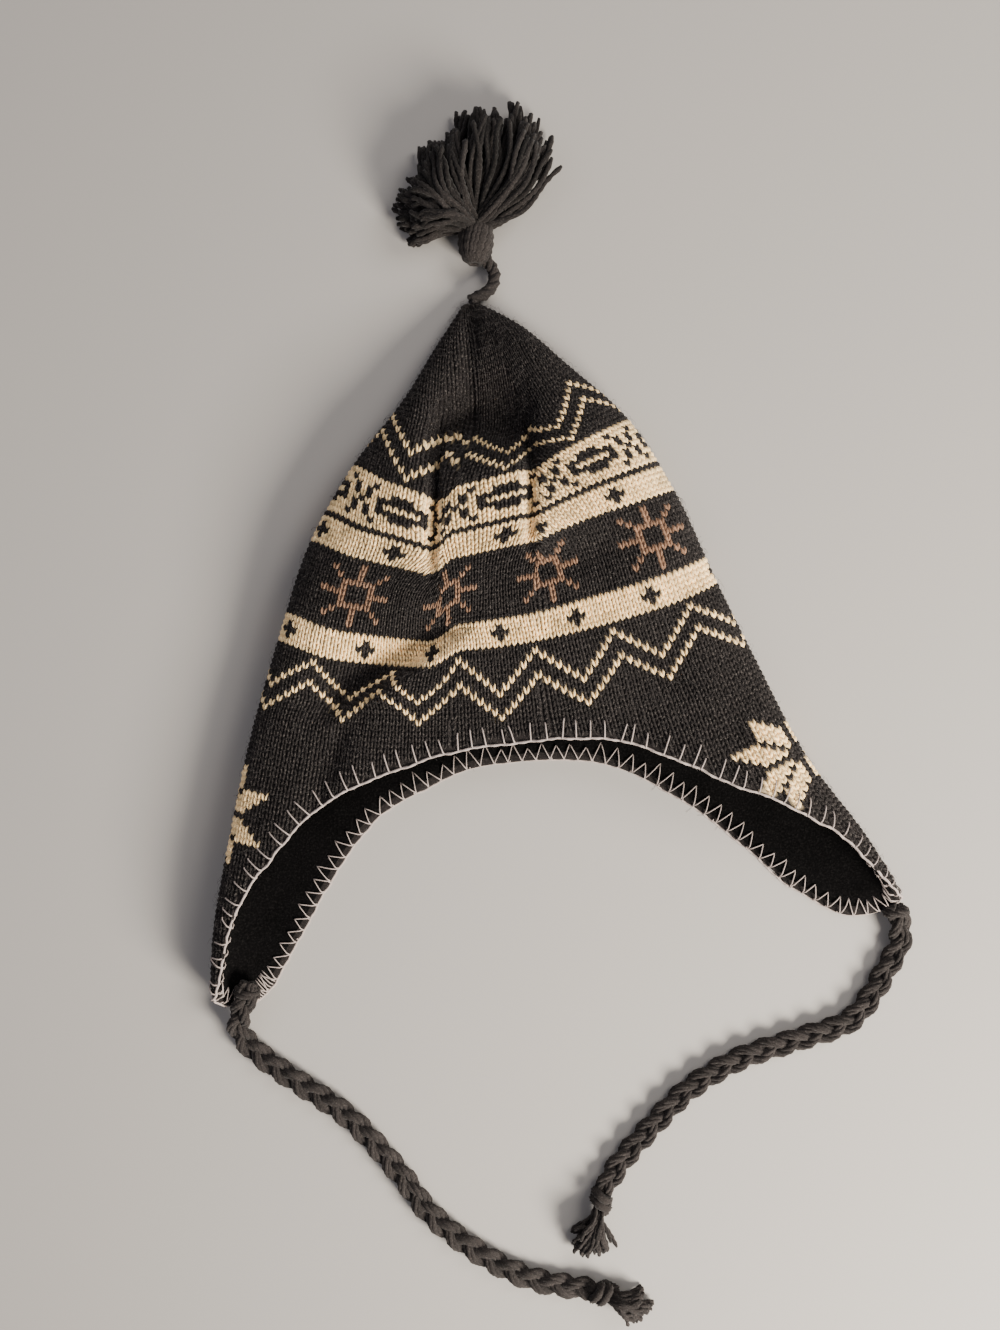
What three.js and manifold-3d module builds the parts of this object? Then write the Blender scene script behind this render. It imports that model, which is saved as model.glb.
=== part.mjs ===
// A knitted chullo hat with a fleece lining, a tassel and two plaited ties, lying on its back.
// Millimetres, +Z up, +Y towards the tip, origin on the floor under the middle of the hat.
import * as THREE from 'three';
import Module from 'manifold-3d';

const wasm = await Module();
wasm.setup();

// Sizes
const KNIT_WALL = 2.6;
const LINING_GAP = 0.4;
const LINING_WALL = 1.6;
const LINING_INSET = 0.985;
const FRONT_COLUMNS = 32;
const BACK_COLUMNS = 22;
const ROWS = 19;
const KNIT_CAVITY_ROW = 1;
const LINING_TOP_ROW = 2;
const LINING_CAVITY_ROW = 3;
const SECTION_POWER = 0.82;
const BACK_ROLL = 1.6;
const TIE_RADIUS = 5.6;
const TASSEL_CORD_RADIUS = 3.0;
const MIDDLE = { x: 29.355, y: 5.39 };

// Sections across the laid hat, by course: the knit's distance from the tip.
// Left and right folds, height of the folds, height of the front layer, sag of each layer's courses.
const SECTIONS = [
  { course: 0, leftX: -18.0, leftY: 190.0, rightX: -12.5, rightY: 190.0, edge: 5, top: 10, sag: 0, backSag: 0 },
  { course: 30, leftX: -33.1, leftY: 165.4, rightX: 11.6, rightY: 175.8, edge: 8, top: 20, sag: 9, backSag: 9 },
  { course: 60, leftX: -48.1, leftY: 139.7, rightX: 33.6, rightY: 156.5, edge: 10, top: 30, sag: 18, backSag: 17 },
  { course: 106, leftX: -75.0, leftY: 103.0, rightX: 65.7, rightY: 126.4, edge: 13, top: 41, sag: 27, backSag: 23 },
  { course: 152, leftX: -97.2, leftY: 63.1, rightX: 89.4, rightY: 89.0, edge: 15, top: 45, sag: 26, backSag: 24 },
  { course: 207, leftX: -113.8, leftY: 11.2, rightX: 111.7, rightY: 40.7, edge: 17, top: 42, sag: 22, backSag: 24 },
  { course: 252, leftX: -126.1, leftY: -31.7, rightX: 131.1, rightY: 1.7, edge: 18, top: 38, sag: 22, backSag: 24 },
  { course: 308, leftX: -137.3, leftY: -86.1, rightX: 156.0, rightY: -46.4, edge: 20, top: 44, sag: 24, backSag: 26 },
  { course: 363, leftX: -146.3, leftY: -139.9, rightX: 187.6, rightY: -88.8, edge: 20, top: 44, sag: 26, backSag: 28 },
  { course: 410, leftX: -147.8, leftY: -186.0, rightX: 211.5, rightY: -127.5, edge: 18, top: 40, sag: 26, backSag: 28 },
];

// Where the two front gore seams lie across the hat, from -1 at the left fold to 1 at the right fold.
const SEAMS = [
  { course: 0, left: 0.0, right: 0.3 },
  { course: 60, left: -0.19, right: 0.33 },
  { course: 106, left: -0.36, right: 0.28 },
  { course: 152, left: -0.31, right: 0.21 },
  { course: 207, left: -0.25, right: 0.16 },
  { course: 410, left: -0.2, right: 0.15 },
];
const SEAM_DROP = 0.14;
const SEAM_FADE_FROM = 160;
const SEAM_FADE_TO = 205;

// Course at which the knit ends, by angle round the section: 0 right fold, 90 front, 180 left fold.
const RIM = [
  { angle: -45, course: 374 },
  { angle: -36, course: 398 },
  { angle: -28, course: 404 },
  { angle: -16, course: 404 },
  { angle: 0, course: 398 },
  { angle: 10, course: 389 },
  { angle: 16, course: 374 },
  { angle: 21, course: 354 },
  { angle: 28, course: 339 },
  { angle: 37, course: 319 },
  { angle: 48, course: 301 },
  { angle: 60, course: 279 },
  { angle: 72, course: 262 },
  { angle: 85, course: 254 },
  { angle: 97, course: 254 },
  { angle: 107, course: 260 },
  { angle: 118, course: 270 },
  { angle: 131, course: 286 },
  { angle: 145, course: 315 },
  { angle: 154, course: 335 },
  { angle: 159, course: 350 },
  { angle: 163, course: 370 },
  { angle: 168, course: 386 },
  { angle: 180, course: 394 },
  { angle: 196, course: 400 },
  { angle: 208, course: 399 },
  { angle: 216, course: 385 },
  { angle: 224, course: 358 },
  { angle: 232, course: 326 },
  { angle: 240, course: 299 },
  { angle: 253, course: 277 },
  { angle: 265, course: 265 },
  { angle: 275, course: 266 },
  { angle: 286, course: 275 },
  { angle: 297, course: 296 },
  { angle: 305, course: 320 },
  { angle: 315, course: 374 },
];

// Dents and folds pressed into the front layer. Widths are to either side of the fold's line.
const FOLDS = [
  { x: -9.0, y: 121.0, turn: 2, half: 24, below: 11, above: 26, depth: 18 },
  { x: -31.5, y: 88.0, turn: 88, half: 34, below: 8, above: 8, depth: 5 },
  { x: 14.8, y: 90.0, turn: 90, half: 34, below: 8, above: 8, depth: 3 },
  { x: -55.0, y: -2.0, turn: 32, half: 36, below: 8, above: 16, depth: 7 },
];

const LEFT_TIE_PATH = [
  [-123.3, -165.4, 13.4], [-129.0, -176.8, 13.9], [-136.4, -187.8, 9.4], [-133.2, -198.3, 5.7],
  [-119.6, -210.3, 5.7], [-104.9, -220.3, 5.7], [-78.7, -238.7, 5.7], [-52.5, -267.5, 5.7],
  [-36.7, -288.5, 5.7], [-10.5, -309.5, 5.7], [15.7, -322.6, 5.7], [46.2, -328.3, 5.7],
];
const RIGHT_TIE_PATH = [
  [205.62, -125.65, 10.55], [208.5, -133.15, 8.9], [210.2, -141.0, 7.0], [209.4, -149.0, 5.7],
  [204.6, -157.4, 5.7], [194.1, -175.7, 5.7], [183.6, -187.3, 5.7], [157.4, -196.7, 5.7],
  [125.9, -207.2, 5.7], [99.7, -222.9, 5.7], [78.7, -243.9, 5.7], [62.9, -262.3, 5.7],
  [55.6, -274.3, 5.7],
];
const TASSEL_CORD_PATH = [
  [-12.4, 192.6, 6.2], [-7.4, 195.0, 6.2], [-3.6, 200.0, 5.4], [-3.2, 206.5, 4.6], [-7.1, 212.3, 6.0],
];

// Tufts of yarn: the knot's place and the way it points, then its locks as turn, reach, rise and girth.
const TASSEL = {
  x: -12.6, y: 221.5, z: 9.6, heading: 88, headLength: 12.0, headRadius: 9.0, neck: 11.0,
  locks: [
    { turn: 96, reach: 43, rise: -1, girth: 8.4 },
    { turn: 74, reach: 47, rise: 3, girth: 9.0 },
    { turn: 54, reach: 50, rise: -1, girth: 9.0 },
    { turn: 34, reach: 52, rise: 4, girth: 9.2 },
    { turn: 17, reach: 56, rise: -1, girth: 9.0 },
    { turn: 1, reach: 60, rise: 4, girth: 9.2 },
    { turn: -15, reach: 64, rise: -1, girth: 9.0 },
    { turn: -31, reach: 62, rise: 3, girth: 8.4 },
    { turn: 44, reach: 40, rise: 13, girth: 8.6 },
    { turn: 8, reach: 46, rise: 14, girth: 8.8 },
    { turn: -20, reach: 48, rise: 12, girth: 8.4 },
  ],
};
const LEFT_TUFT = {
  x: 53.6, y: -329.2, z: 6.8, heading: -20, headLength: 6.6, headRadius: 6.4, neck: 5.0,
  locks: [
    { turn: 22, reach: 19, rise: -1.5, girth: 4.4 },
    { turn: 7, reach: 23, rise: 1, girth: 4.6 },
    { turn: -8, reach: 22, rise: -1.5, girth: 4.4 },
    { turn: -24, reach: 18, rise: 0, girth: 4.2 },
  ],
};
const RIGHT_TUFT = {
  x: 52.9, y: -280.7, z: 6.8, heading: -104, headLength: 6.4, headRadius: 6.0, neck: 5.0,
  locks: [
    { turn: 24, reach: 23, rise: -1.5, girth: 4.6 },
    { turn: 8, reach: 27, rise: 1, girth: 4.8 },
    { turn: -9, reach: 27, rise: -1.5, girth: 4.8 },
    { turn: -26, reach: 24, rise: 0, girth: 4.4 },
  ],
};

// Reads one column of a table at a place, by a smooth curve through its rows.
function along(table, key, column, at) {
  const last = table.length - 1;
  let i = 0;
  while (i < last - 1 && at > table[i + 1][key]) i += 1;
  const slope = (a) => (table[a + 1][column] - table[a][column]) / (table[a + 1][key] - table[a][key]);
  const tangent = (a) => {
    if (a === 0) return slope(0);
    if (a === last) return slope(last - 1);
    const before = table[a][key] - table[a - 1][key];
    const after = table[a + 1][key] - table[a][key];
    return (slope(a - 1) * after + slope(a) * before) / (before + after);
  };
  const span = table[i + 1][key] - table[i][key];
  const u = (at - table[i][key]) / span;
  const ends = (2 * u ** 3 - 3 * u ** 2 + 1) * table[i][column] + (3 * u ** 2 - 2 * u ** 3) * table[i + 1][column];
  return ends + span * ((u ** 3 - 2 * u ** 2 + u) * tangent(i) + (u ** 3 - u ** 2) * tangent(i + 1));
}

function smoothstep(from, to, at) {
  const t = Math.min(Math.max((at - from) / (to - from), 0), 1);
  return t * t * (3 - 2 * t);
}

// The share of a course's sag at a place across the front: straight between the gore seams, then round.
function frontSag(across, course) {
  const left = along(SEAMS, 'course', 'left', course);
  const right = along(SEAMS, 'course', 'right', course);
  const gores = Math.min(
    (1 + across) / (1 + left),
    ((1 - across) / (1 - right)) * (1 - SEAM_DROP),
    1 - (SEAM_DROP * (across - left)) / (right - left),
  );
  const round = 1 - across ** 2;
  const sharp = Math.max(gores, 0);
  return sharp + (round - sharp) * smoothstep(SEAM_FADE_FROM, SEAM_FADE_TO, course);
}

// How far the folds press the front layer down at a place.
function pressed(x, y) {
  let depth = 0;
  for (const fold of FOLDS) {
    const turn = THREE.MathUtils.degToRad(fold.turn);
    const u = (x - fold.x) * Math.cos(turn) + (y - fold.y) * Math.sin(turn);
    const v = (y - fold.y) * Math.cos(turn) - (x - fold.x) * Math.sin(turn);
    const width = v > 0 ? fold.above : fold.below;
    depth += fold.depth * Math.exp(-((u / fold.half) ** 4) - (v / width) ** 2);
  }
  return depth;
}

// The knit's outer face at an angle round the section and a course down from the tip.
function hatPoint(angle, course) {
  const at = (column) => along(SECTIONS, 'course', column, course);
  const turn = THREE.MathUtils.degToRad(angle);
  const cos = Math.cos(turn);
  const sin = Math.sin(turn);
  const across = Math.sign(cos) * Math.abs(cos) ** SECTION_POWER;
  const up = Math.abs(sin) ** SECTION_POWER;
  const isFront = sin >= 0;
  const sag = isFront ? at('sag') * frontSag(across, course) : at('backSag') * (1 - across ** 2);
  const halfX = (at('rightX') - at('leftX')) / 2;
  const halfY = (at('rightY') - at('leftY')) / 2;
  const half = Math.hypot(halfX, halfY);
  const x = (at('leftX') + at('rightX')) / 2 + across * halfX + (halfY / half) * sag;
  const y = (at('leftY') + at('rightY')) / 2 + across * halfY - (halfX / half) * sag;
  const edge = at('edge');
  const z = isFront
    ? edge + (at('top') - edge) * up - pressed(x, y) * Math.min(1, 1.5 * up)
    : edge * Math.max(0, 1 - BACK_ROLL * Math.abs(sin)) ** 1.5;
  return new THREE.Vector3(x - MIDDLE.x, y - MIDDLE.y, z);
}

// The hat's face set in from the outside, with the way in taken from the face itself.
function hatFace(angle, share, inset) {
  const rim = along(RIM, 'angle', 'course', angle > 315 ? angle - 360 : angle);
  const course = rim * share;
  const point = hatPoint(angle, course);
  if (inset === 0) return point;
  const step = 2;
  const round = hatPoint(angle + step, course).sub(hatPoint(angle - step, course));
  const down = hatPoint(angle, course + step).sub(hatPoint(angle, course - step));
  const inward = round.cross(down).normalize();
  return point.addScaledVector(inward, -inset);
}

function ringAngles() {
  const front = Array.from({ length: FRONT_COLUMNS }, (_, i) => (180 * i) / FRONT_COLUMNS);
  const back = Array.from({ length: BACK_COLUMNS }, (_, i) => 180 + (180 * i) / BACK_COLUMNS);
  return [...front, ...back];
}

function hatRings(firstRow, inset, rimShare) {
  const angles = ringAngles();
  const rings = [];
  for (let row = firstRow; row <= ROWS; row += 1) {
    const share = Math.min(row / ROWS, rimShare);
    rings.push(angles.map((angle) => hatFace(angle, share, inset)));
  }
  return rings;
}

// Skins a stack of rings and closes both ends, facing out whichever way the rings run.
// From ring `back` on the stack returns inside itself, and its faces are cut the same way as outside.
function loft(rings, back = rings.length) {
  const count = rings[0].length;
  const middle = (ring) => ring.reduce((sum, p) => sum.add(p), new THREE.Vector3()).divideScalar(count);
  const points = [...rings.flat(), middle(rings[0]), middle(rings[rings.length - 1])];
  const index = [];
  for (let r = 0; r < rings.length - 1; r += 1) {
    for (let i = 0; i < count; i += 1) {
      const a = r * count + i;
      const b = r * count + ((i + 1) % count);
      if (r < back) index.push(a, b, b + count, a, b + count, a + count);
      else index.push(a, b, a + count, b, b + count, a + count);
    }
  }
  const lastRing = (rings.length - 1) * count;
  for (let i = 0; i < count; i += 1) {
    const next = (i + 1) % count;
    index.push(next, i, points.length - 2, lastRing + i, lastRing + next, points.length - 1);
  }
  let volume = 0;
  for (let t = 0; t < index.length; t += 3) {
    const [a, b, c] = [points[index[t]], points[index[t + 1]], points[index[t + 2]]];
    volume += a.dot(b.clone().cross(c));
  }
  if (volume < 0) index.reverse();
  return { points, index };
}

function toGeometry({ points, index }) {
  const geometry = new THREE.BufferGeometry().setFromPoints(points);
  geometry.setIndex(index);
  geometry.computeVertexNormals();
  return geometry;
}

function toSolid({ points, index }) {
  return new wasm.Manifold(new wasm.Mesh({
    numProp: 3,
    vertProperties: new Float32Array(points.flatMap((p) => [p.x, p.y, p.z])),
    triVerts: new Uint32Array(index),
  }));
}

function solidGeometry(solid) {
  const mesh = solid.getMesh();
  const geometry = new THREE.BufferGeometry();
  geometry.setAttribute('position', new THREE.BufferAttribute(new Float32Array(mesh.vertProperties), 3));
  geometry.setIndex(new THREE.BufferAttribute(new Uint32Array(mesh.triVerts), 1));
  geometry.computeVertexNormals();
  return geometry;
}

// Rings round a path, each an ellipse of its own girth, kept above the floor.
function pathRings(path, girths, sides, flatness) {
  return path.map((point, i) => {
    const ahead = path[Math.min(i + 1, path.length - 1)];
    const behind = path[Math.max(i - 1, 0)];
    const forward = ahead.clone().sub(behind).normalize();
    const side = new THREE.Vector3(-forward.y, forward.x, 0).normalize();
    const up = forward.clone().cross(side);
    return Array.from({ length: sides }, (_, k) => {
      const turn = (2 * Math.PI * k) / sides;
      const place = point.clone()
        .addScaledVector(side, girths[i] * Math.cos(turn))
        .addScaledVector(up, girths[i] * flatness * Math.sin(turn));
      place.z = Math.max(place.z, 0.05);
      return place;
    });
  });
}

// A bound head with locks of yarn spreading from its neck, fused into one body.
function tuft({ x, y, z, heading, headLength, headRadius, neck, locks }) {
  const origin = new THREE.Vector3(x - MIDDLE.x, y - MIDDLE.y, z);
  const aim = (turn) => {
    const angle = THREE.MathUtils.degToRad(heading + turn);
    return new THREE.Vector3(Math.cos(angle), Math.sin(angle), 0);
  };
  const headShares = [-1, -0.86, -0.5, 0, 0.5, 0.86, 1];
  const headPath = headShares.map((share) => origin.clone().addScaledVector(aim(0), share * headLength));
  const headGirths = headShares.map((share) => headRadius * Math.max(Math.sqrt(1 - share * share), 0.18));
  let solid = toSolid(loft(pathRings(headPath, headGirths, 12, 1)));
  const root = origin.clone().addScaledVector(aim(0), neck * 0.6);
  const lockShares = [0, 0.2, 0.45, 0.7, 0.9, 1];
  const lockForm = [0.5, 0.72, 0.95, 1, 0.8, 0.3];
  for (const lock of locks) {
    const tip = root.clone().addScaledVector(aim(lock.turn), lock.reach);
    const bend = root.clone().addScaledVector(aim(lock.turn * 0.35), lock.reach * 0.45);
    const path = lockShares.map((t) => {
      const place = root.clone().multiplyScalar((1 - t) ** 2)
        .addScaledVector(bend, 2 * t * (1 - t))
        .addScaledVector(tip, t * t);
      place.z = z + lock.rise * t - (z - lock.girth * 0.8) * t * (lock.rise > 6 ? 0 : 0.6);
      return place;
    });
    const girths = lockForm.map((form) => form * lock.girth);
    solid = solid.add(toSolid(loft(pathRings(path, girths, 8, 0.8))));
  }
  return solidGeometry(solid);
}

// A round cord along a smooth path.
function cord(path, radius, sides, steps) {
  const points = path.map(([x, y, z]) => new THREE.Vector3(x - MIDDLE.x, y - MIDDLE.y, z));
  const outline = new THREE.Shape(Array.from({ length: sides }, (_, i) => {
    const turn = (2 * Math.PI * i) / sides;
    return new THREE.Vector2(radius * Math.cos(turn), radius * Math.sin(turn));
  }));
  const extrudePath = new THREE.CatmullRomCurve3(points, false, 'centripetal');
  return new THREE.ExtrudeGeometry(outline, { steps, bevelEnabled: false, extrudePath });
}

const KNIT = { color: 0x2b2829, roughness: 0.95, metalness: 0 };
const FLEECE = { color: 0x0f0f10, roughness: 1, metalness: 0 };
const YARN = { color: 0x2a2727, roughness: 0.95, metalness: 0 };

const part = new THREE.Group();
part.name = 'chullo_hat';

function addPiece(name, geometry, finish) {
  const mesh = new THREE.Mesh(geometry, new THREE.MeshStandardMaterial(finish));
  mesh.name = name;
  part.add(mesh);
}

const liningFace = KNIT_WALL + LINING_GAP;
const knitSkin = [...hatRings(0, 0, 1), ...hatRings(KNIT_CAVITY_ROW, KNIT_WALL, 1).reverse()];
const liningSkin = [
  ...hatRings(LINING_TOP_ROW, liningFace, LINING_INSET),
  ...hatRings(LINING_CAVITY_ROW, liningFace + LINING_WALL, LINING_INSET).reverse(),
];

addPiece('knit_shell', toGeometry(loft(knitSkin, ROWS + 1)), KNIT);
addPiece('fleece_lining', toGeometry(loft(liningSkin, ROWS - LINING_TOP_ROW + 1)), FLEECE);
addPiece('tassel_cord', cord(TASSEL_CORD_PATH, TASSEL_CORD_RADIUS, 8, 12), YARN);
addPiece('tassel', tuft(TASSEL), YARN);
addPiece('left_tie', cord(LEFT_TIE_PATH, TIE_RADIUS, 8, 36), YARN);
addPiece('left_tie_tuft', tuft(LEFT_TUFT), YARN);
addPiece('right_tie', cord(RIGHT_TIE_PATH, TIE_RADIUS, 8, 36), YARN);
addPiece('right_tie_tuft', tuft(RIGHT_TUFT), YARN);

export default part;
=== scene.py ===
"""A knitted chullo hat with a fleece lining, blanket stitching, a tassel and two plaited ties."""
from __future__ import annotations

import logging
import math
from dataclasses import dataclass, field
from enum import Enum

import bpy
import numpy as np
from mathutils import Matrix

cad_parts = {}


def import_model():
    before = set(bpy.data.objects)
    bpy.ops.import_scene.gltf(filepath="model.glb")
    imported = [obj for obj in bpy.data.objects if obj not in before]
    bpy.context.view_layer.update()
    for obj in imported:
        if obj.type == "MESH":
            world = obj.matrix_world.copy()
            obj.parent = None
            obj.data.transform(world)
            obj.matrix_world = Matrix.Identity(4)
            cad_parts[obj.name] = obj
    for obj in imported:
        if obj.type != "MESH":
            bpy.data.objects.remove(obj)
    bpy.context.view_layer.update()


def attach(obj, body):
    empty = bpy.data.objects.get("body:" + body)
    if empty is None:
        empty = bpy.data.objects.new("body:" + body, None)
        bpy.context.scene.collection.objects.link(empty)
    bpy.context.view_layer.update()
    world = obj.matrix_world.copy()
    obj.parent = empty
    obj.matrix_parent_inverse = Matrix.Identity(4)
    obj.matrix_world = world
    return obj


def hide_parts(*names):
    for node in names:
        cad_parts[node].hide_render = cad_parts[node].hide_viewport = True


LOG = logging.getLogger("chullo")
MM = 0.001

# Points of a route's fine curve, and the level share of a path's direction under which it is steep.
FINE_STEPS = 2000
STEEPEST = 0.12

# A stitch's middle and its three directions, by their names in the layout.
STITCH_FRAME = ("middle", "width", "length", "out")

# Where the part's origin lies from the photo's middle, in millimetres.
MIDDLE_X = 29.355
MIDDLE_Y = 5.39

# Shares of a grid's cell in the bake map: its edge, and the strip, size and places of its end faces.
MAP_EDGE = 0.04
MAP_STRIP = 0.14
MAP_ROUND = 0.05
FIRST_ROUND = (0.25, 0.06)
LAST_ROUND = (0.75, 0.06)

# Course, left fold x y, right fold x y, height of the folds, height of the front, sag of front and back.
SECTIONS = np.array([
    [0, -18.0, 190.0, -12.5, 190.0, 5, 10, 0, 0],
    [30, -33.1, 165.4, 11.6, 175.8, 8, 20, 9, 9],
    [60, -48.1, 139.7, 33.6, 156.5, 10, 30, 18, 17],
    [106, -75.0, 103.0, 65.7, 126.4, 13, 41, 27, 23],
    [152, -97.2, 63.1, 89.4, 89.0, 15, 45, 26, 24],
    [207, -113.8, 11.2, 111.7, 40.7, 17, 42, 22, 24],
    [252, -126.1, -31.7, 131.1, 1.7, 18, 38, 22, 24],
    [308, -137.3, -86.1, 156.0, -46.4, 20, 44, 24, 26],
    [363, -146.3, -139.9, 187.6, -88.8, 20, 44, 26, 28],
    [410, -147.8, -186.0, 211.5, -127.5, 18, 40, 26, 28],
], float)

# Course, then where the left and the right gore seam lie across the front, from -1 to 1.
GORE_SEAMS = np.array([
    [0, 0.0, 0.3], [60, -0.19, 0.33], [106, -0.36, 0.28],
    [152, -0.31, 0.21], [207, -0.25, 0.16], [410, -0.2, 0.15],
], float)

# Angle round the section, then the course at which the knit ends there.
RIM = np.array([
    [-45, 374], [-36, 398], [-28, 404], [-16, 404], [0, 398], [10, 389], [16, 374], [21, 354], [28, 339],
    [37, 319], [48, 301], [60, 279], [72, 262], [85, 254], [97, 254], [107, 260], [118, 270], [131, 286],
    [145, 315], [154, 335], [159, 350], [163, 370], [168, 386], [180, 394], [196, 400], [208, 399],
    [216, 385], [224, 358], [232, 326], [240, 299], [253, 277], [265, 265], [275, 266], [286, 275],
    [297, 296], [305, 320], [315, 374],
], float)

# Course, then the wale at the back seam, the left fold, the left front, both sides of each gore seam,
# the right front, the right fold and the back seam again.
WALES = np.array([
    [0, 2, 5, 7.5, 9.5, 20, 22, 46, 48, 50, 53],
    [60, -18.5, -5.3, 3, 8, 18, 26, 44, 50, 58.3, 71.5],
    [103, -33.6, -11, 0.8, 7.5, 17, 29, 41.9, 49.2, 60.6, 83.2],
    [120, -37.6, -12.6, 0.1, 6.8, 16.2, 28.5, 39.7, 47.8, 60.1, 85.1],
    [142, -43.6, -15.0, -1.2, 6.3, 15.2, 28.8, 36.2, 46.8, 60.2, 88.4],
    [165, -48, -15.4, -0.7, 12.5, 13.5, 31, 32, 46.2, 60.6, 93],
    [210, -49.6, -15.4, 0.2, 15, 15, 29.7, 29.7, 45.7, 60.8, 95],
    [420, -49.6, -15.4, 0.2, 15, 15, 29.7, 29.7, 45.7, 60.8, 95],
], float)

# Where the left and the right front lie across the hat, as a share of its half width.
SIDE_SHARE = 0.62

# Routes of the cords in millimetres about the photo's middle: across, along and up.
LEFT_TIE_ROUTE = np.array([
    [-129.5, -164.0, 14.6], [-132.6, -175.8, 14.2], [-136.4, -187.8, 9.4], [-133.2, -198.3, 5.7],
    [-119.6, -210.3, 5.7], [-104.9, -220.3, 5.7], [-78.7, -238.7, 5.7], [-52.5, -267.5, 5.7],
    [-36.7, -288.5, 5.7], [-10.5, -309.5, 5.7], [15.7, -322.6, 5.7], [46.2, -328.3, 5.7],
    [53.6, -329.2, 6.2],
])
RIGHT_TIE_ROUTE = np.array([
    [205.62, -125.65, 10.55], [208.5, -133.15, 8.9], [210.2, -141.0, 7.0], [209.4, -149.0, 5.7],
    [204.6, -157.4, 5.7], [194.1, -175.7, 5.7], [183.6, -187.3, 5.7], [157.4, -196.7, 5.7],
    [125.9, -207.2, 5.7], [99.7, -222.9, 5.7], [78.7, -243.9, 5.7], [62.9, -262.3, 5.7],
    [55.6, -274.3, 5.7], [52.9, -280.7, 6.2],
])
TASSEL_CORD_ROUTE = np.array([
    [-15.4, 190.8, 6.3], [-12.4, 192.6, 6.2], [-7.4, 195.0, 6.2], [-3.6, 200.0, 5.4], [-3.2, 206.5, 4.6],
    [-7.1, 212.3, 6.0], [-10.6, 217.6, 8.0], [-12.6, 223.5, 9.6],
])

# Turn from a tuft's heading in degrees, then the yarn's reach there in millimetres.
LEFT_LOCKS = np.array([[-26, 18], [-24, 19], [-8, 23], [7, 24], [22, 20], [25, 18]], float)
RIGHT_LOCKS = np.array([[-28, 24], [-26, 25], [-9, 28], [8, 28], [24, 24], [27, 22]], float)
TASSEL_LOCKS = np.array([
    [-43, 58], [-41, 60], [-31, 64], [-22, 69], [-7, 64], [6, 58], [26, 50], [53, 46], [75, 42], [92, 38],
    [101, 35],
], float)


class Wool(Enum):
    """Colours of the knit's wool and of the yarn, as linear red, green and blue."""

    CHARCOAL = (0.0156, 0.0129, 0.0124)
    CREAM = (0.96, 0.71, 0.38)
    TAN = (0.25, 0.145, 0.09)
    YARN = (0.0235, 0.0197, 0.0185)


class Side(Enum):
    """The two ties, by the flap that each leaves."""

    LEFT = "left"
    RIGHT = "right"


def lay_to_part(points: np.ndarray) -> np.ndarray:
    """Moves points in millimetres about the photo's middle into the part's frame in metres."""
    return (points - np.array([MIDDLE_X, MIDDLE_Y, 0.0])) * MM


def read_table(table: np.ndarray, at: np.ndarray) -> np.ndarray:
    """Reads a table's columns at given keys by a cubic through its rows.

    Each span is a Hermite cubic whose end slopes are the weighted means of the two nearest spans' slopes.

    Args:
        table: Rows of a key, in rising order, and its values.
        at: Keys to read at, of any shape.

    Returns:
        The values, with one more axis than `at`.
    """
    key = table[:, 0]
    value = table[:, 1:]
    span = np.diff(key)
    slope = np.diff(value, axis=0) / span[:, None]
    both = (span[1:] + span[:-1])[:, None]
    inner = (slope[:-1] * span[1:, None] + slope[1:] * span[:-1, None]) / both
    tangent = np.vstack([slope[:1], inner, slope[-1:]])
    i = np.clip(np.searchsorted(key, at) - 1, 0, len(span) - 1)
    u = ((at - key[i]) / span[i])[..., None]
    ends = (2 * u**3 - 3 * u**2 + 1) * value[i] + (3 * u**2 - 2 * u**3) * value[i + 1]
    lean = (u**3 - 2 * u**2 + u) * tangent[i] + (u**3 - u**2) * tangent[i + 1]
    return ends + span[i][..., None] * lean


def smoothstep(low: float, high: float, at: np.ndarray) -> np.ndarray:
    """Rises smoothly from 0 at low to 1 at high."""
    t = np.clip((at - low) / (high - low), 0, 1)
    return t * t * (3 - 2 * t)


def unit(vectors: np.ndarray) -> np.ndarray:
    """Scales vectors to length one."""
    return vectors / np.maximum(np.linalg.norm(vectors, axis=-1, keepdims=True), 1e-12)


def running_length(paths: np.ndarray) -> np.ndarray:
    """Length along each path up to each of its points."""
    steps = np.linalg.norm(np.diff(paths, axis=-2), axis=-1)
    return np.concatenate([np.zeros_like(steps[..., :1]), np.cumsum(steps, axis=-1)], axis=-1)


def smooth_route(points: np.ndarray, count: int) -> np.ndarray:
    """Passes a smooth curve through points and spaces new points evenly along it.

    The curve is a cubic through the points by the square root of the chord lengths.

    Args:
        points: The route's points, in order.
        count: How many points to return.

    Returns:
        Points evenly spaced by length along the curve.
    """
    chord = np.sqrt(np.linalg.norm(np.diff(points, axis=0), axis=1))
    key = np.concatenate([[0.0], np.cumsum(chord)])
    fine = read_table(np.column_stack([key, points]), np.linspace(0, key[-1], FINE_STEPS))
    length = running_length(fine)
    at = np.linspace(0, length[-1], count)
    return np.column_stack([np.interp(at, length, fine[:, axis]) for axis in range(3)])


def path_frames(paths: np.ndarray) -> tuple[np.ndarray, np.ndarray, np.ndarray]:
    """Gives each point of each path its forward, level side and upward directions.

    The side is the cross product of up and forward, or of y and forward where the path is steep.

    Args:
        paths: Path, point and coordinate, or one path's points.

    Returns:
        The three directions, each of the paths' own shape.
    """
    forward = unit(np.gradient(paths, axis=-2))
    level = np.cross(np.array([0.0, 0.0, 1.0]), forward)
    steep = np.linalg.norm(level, axis=-1, keepdims=True) < STEEPEST
    side = unit(np.where(steep, np.cross(np.array([0.0, 1.0, 0.0]), forward), level))
    return forward, side, np.cross(forward, side)


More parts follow.
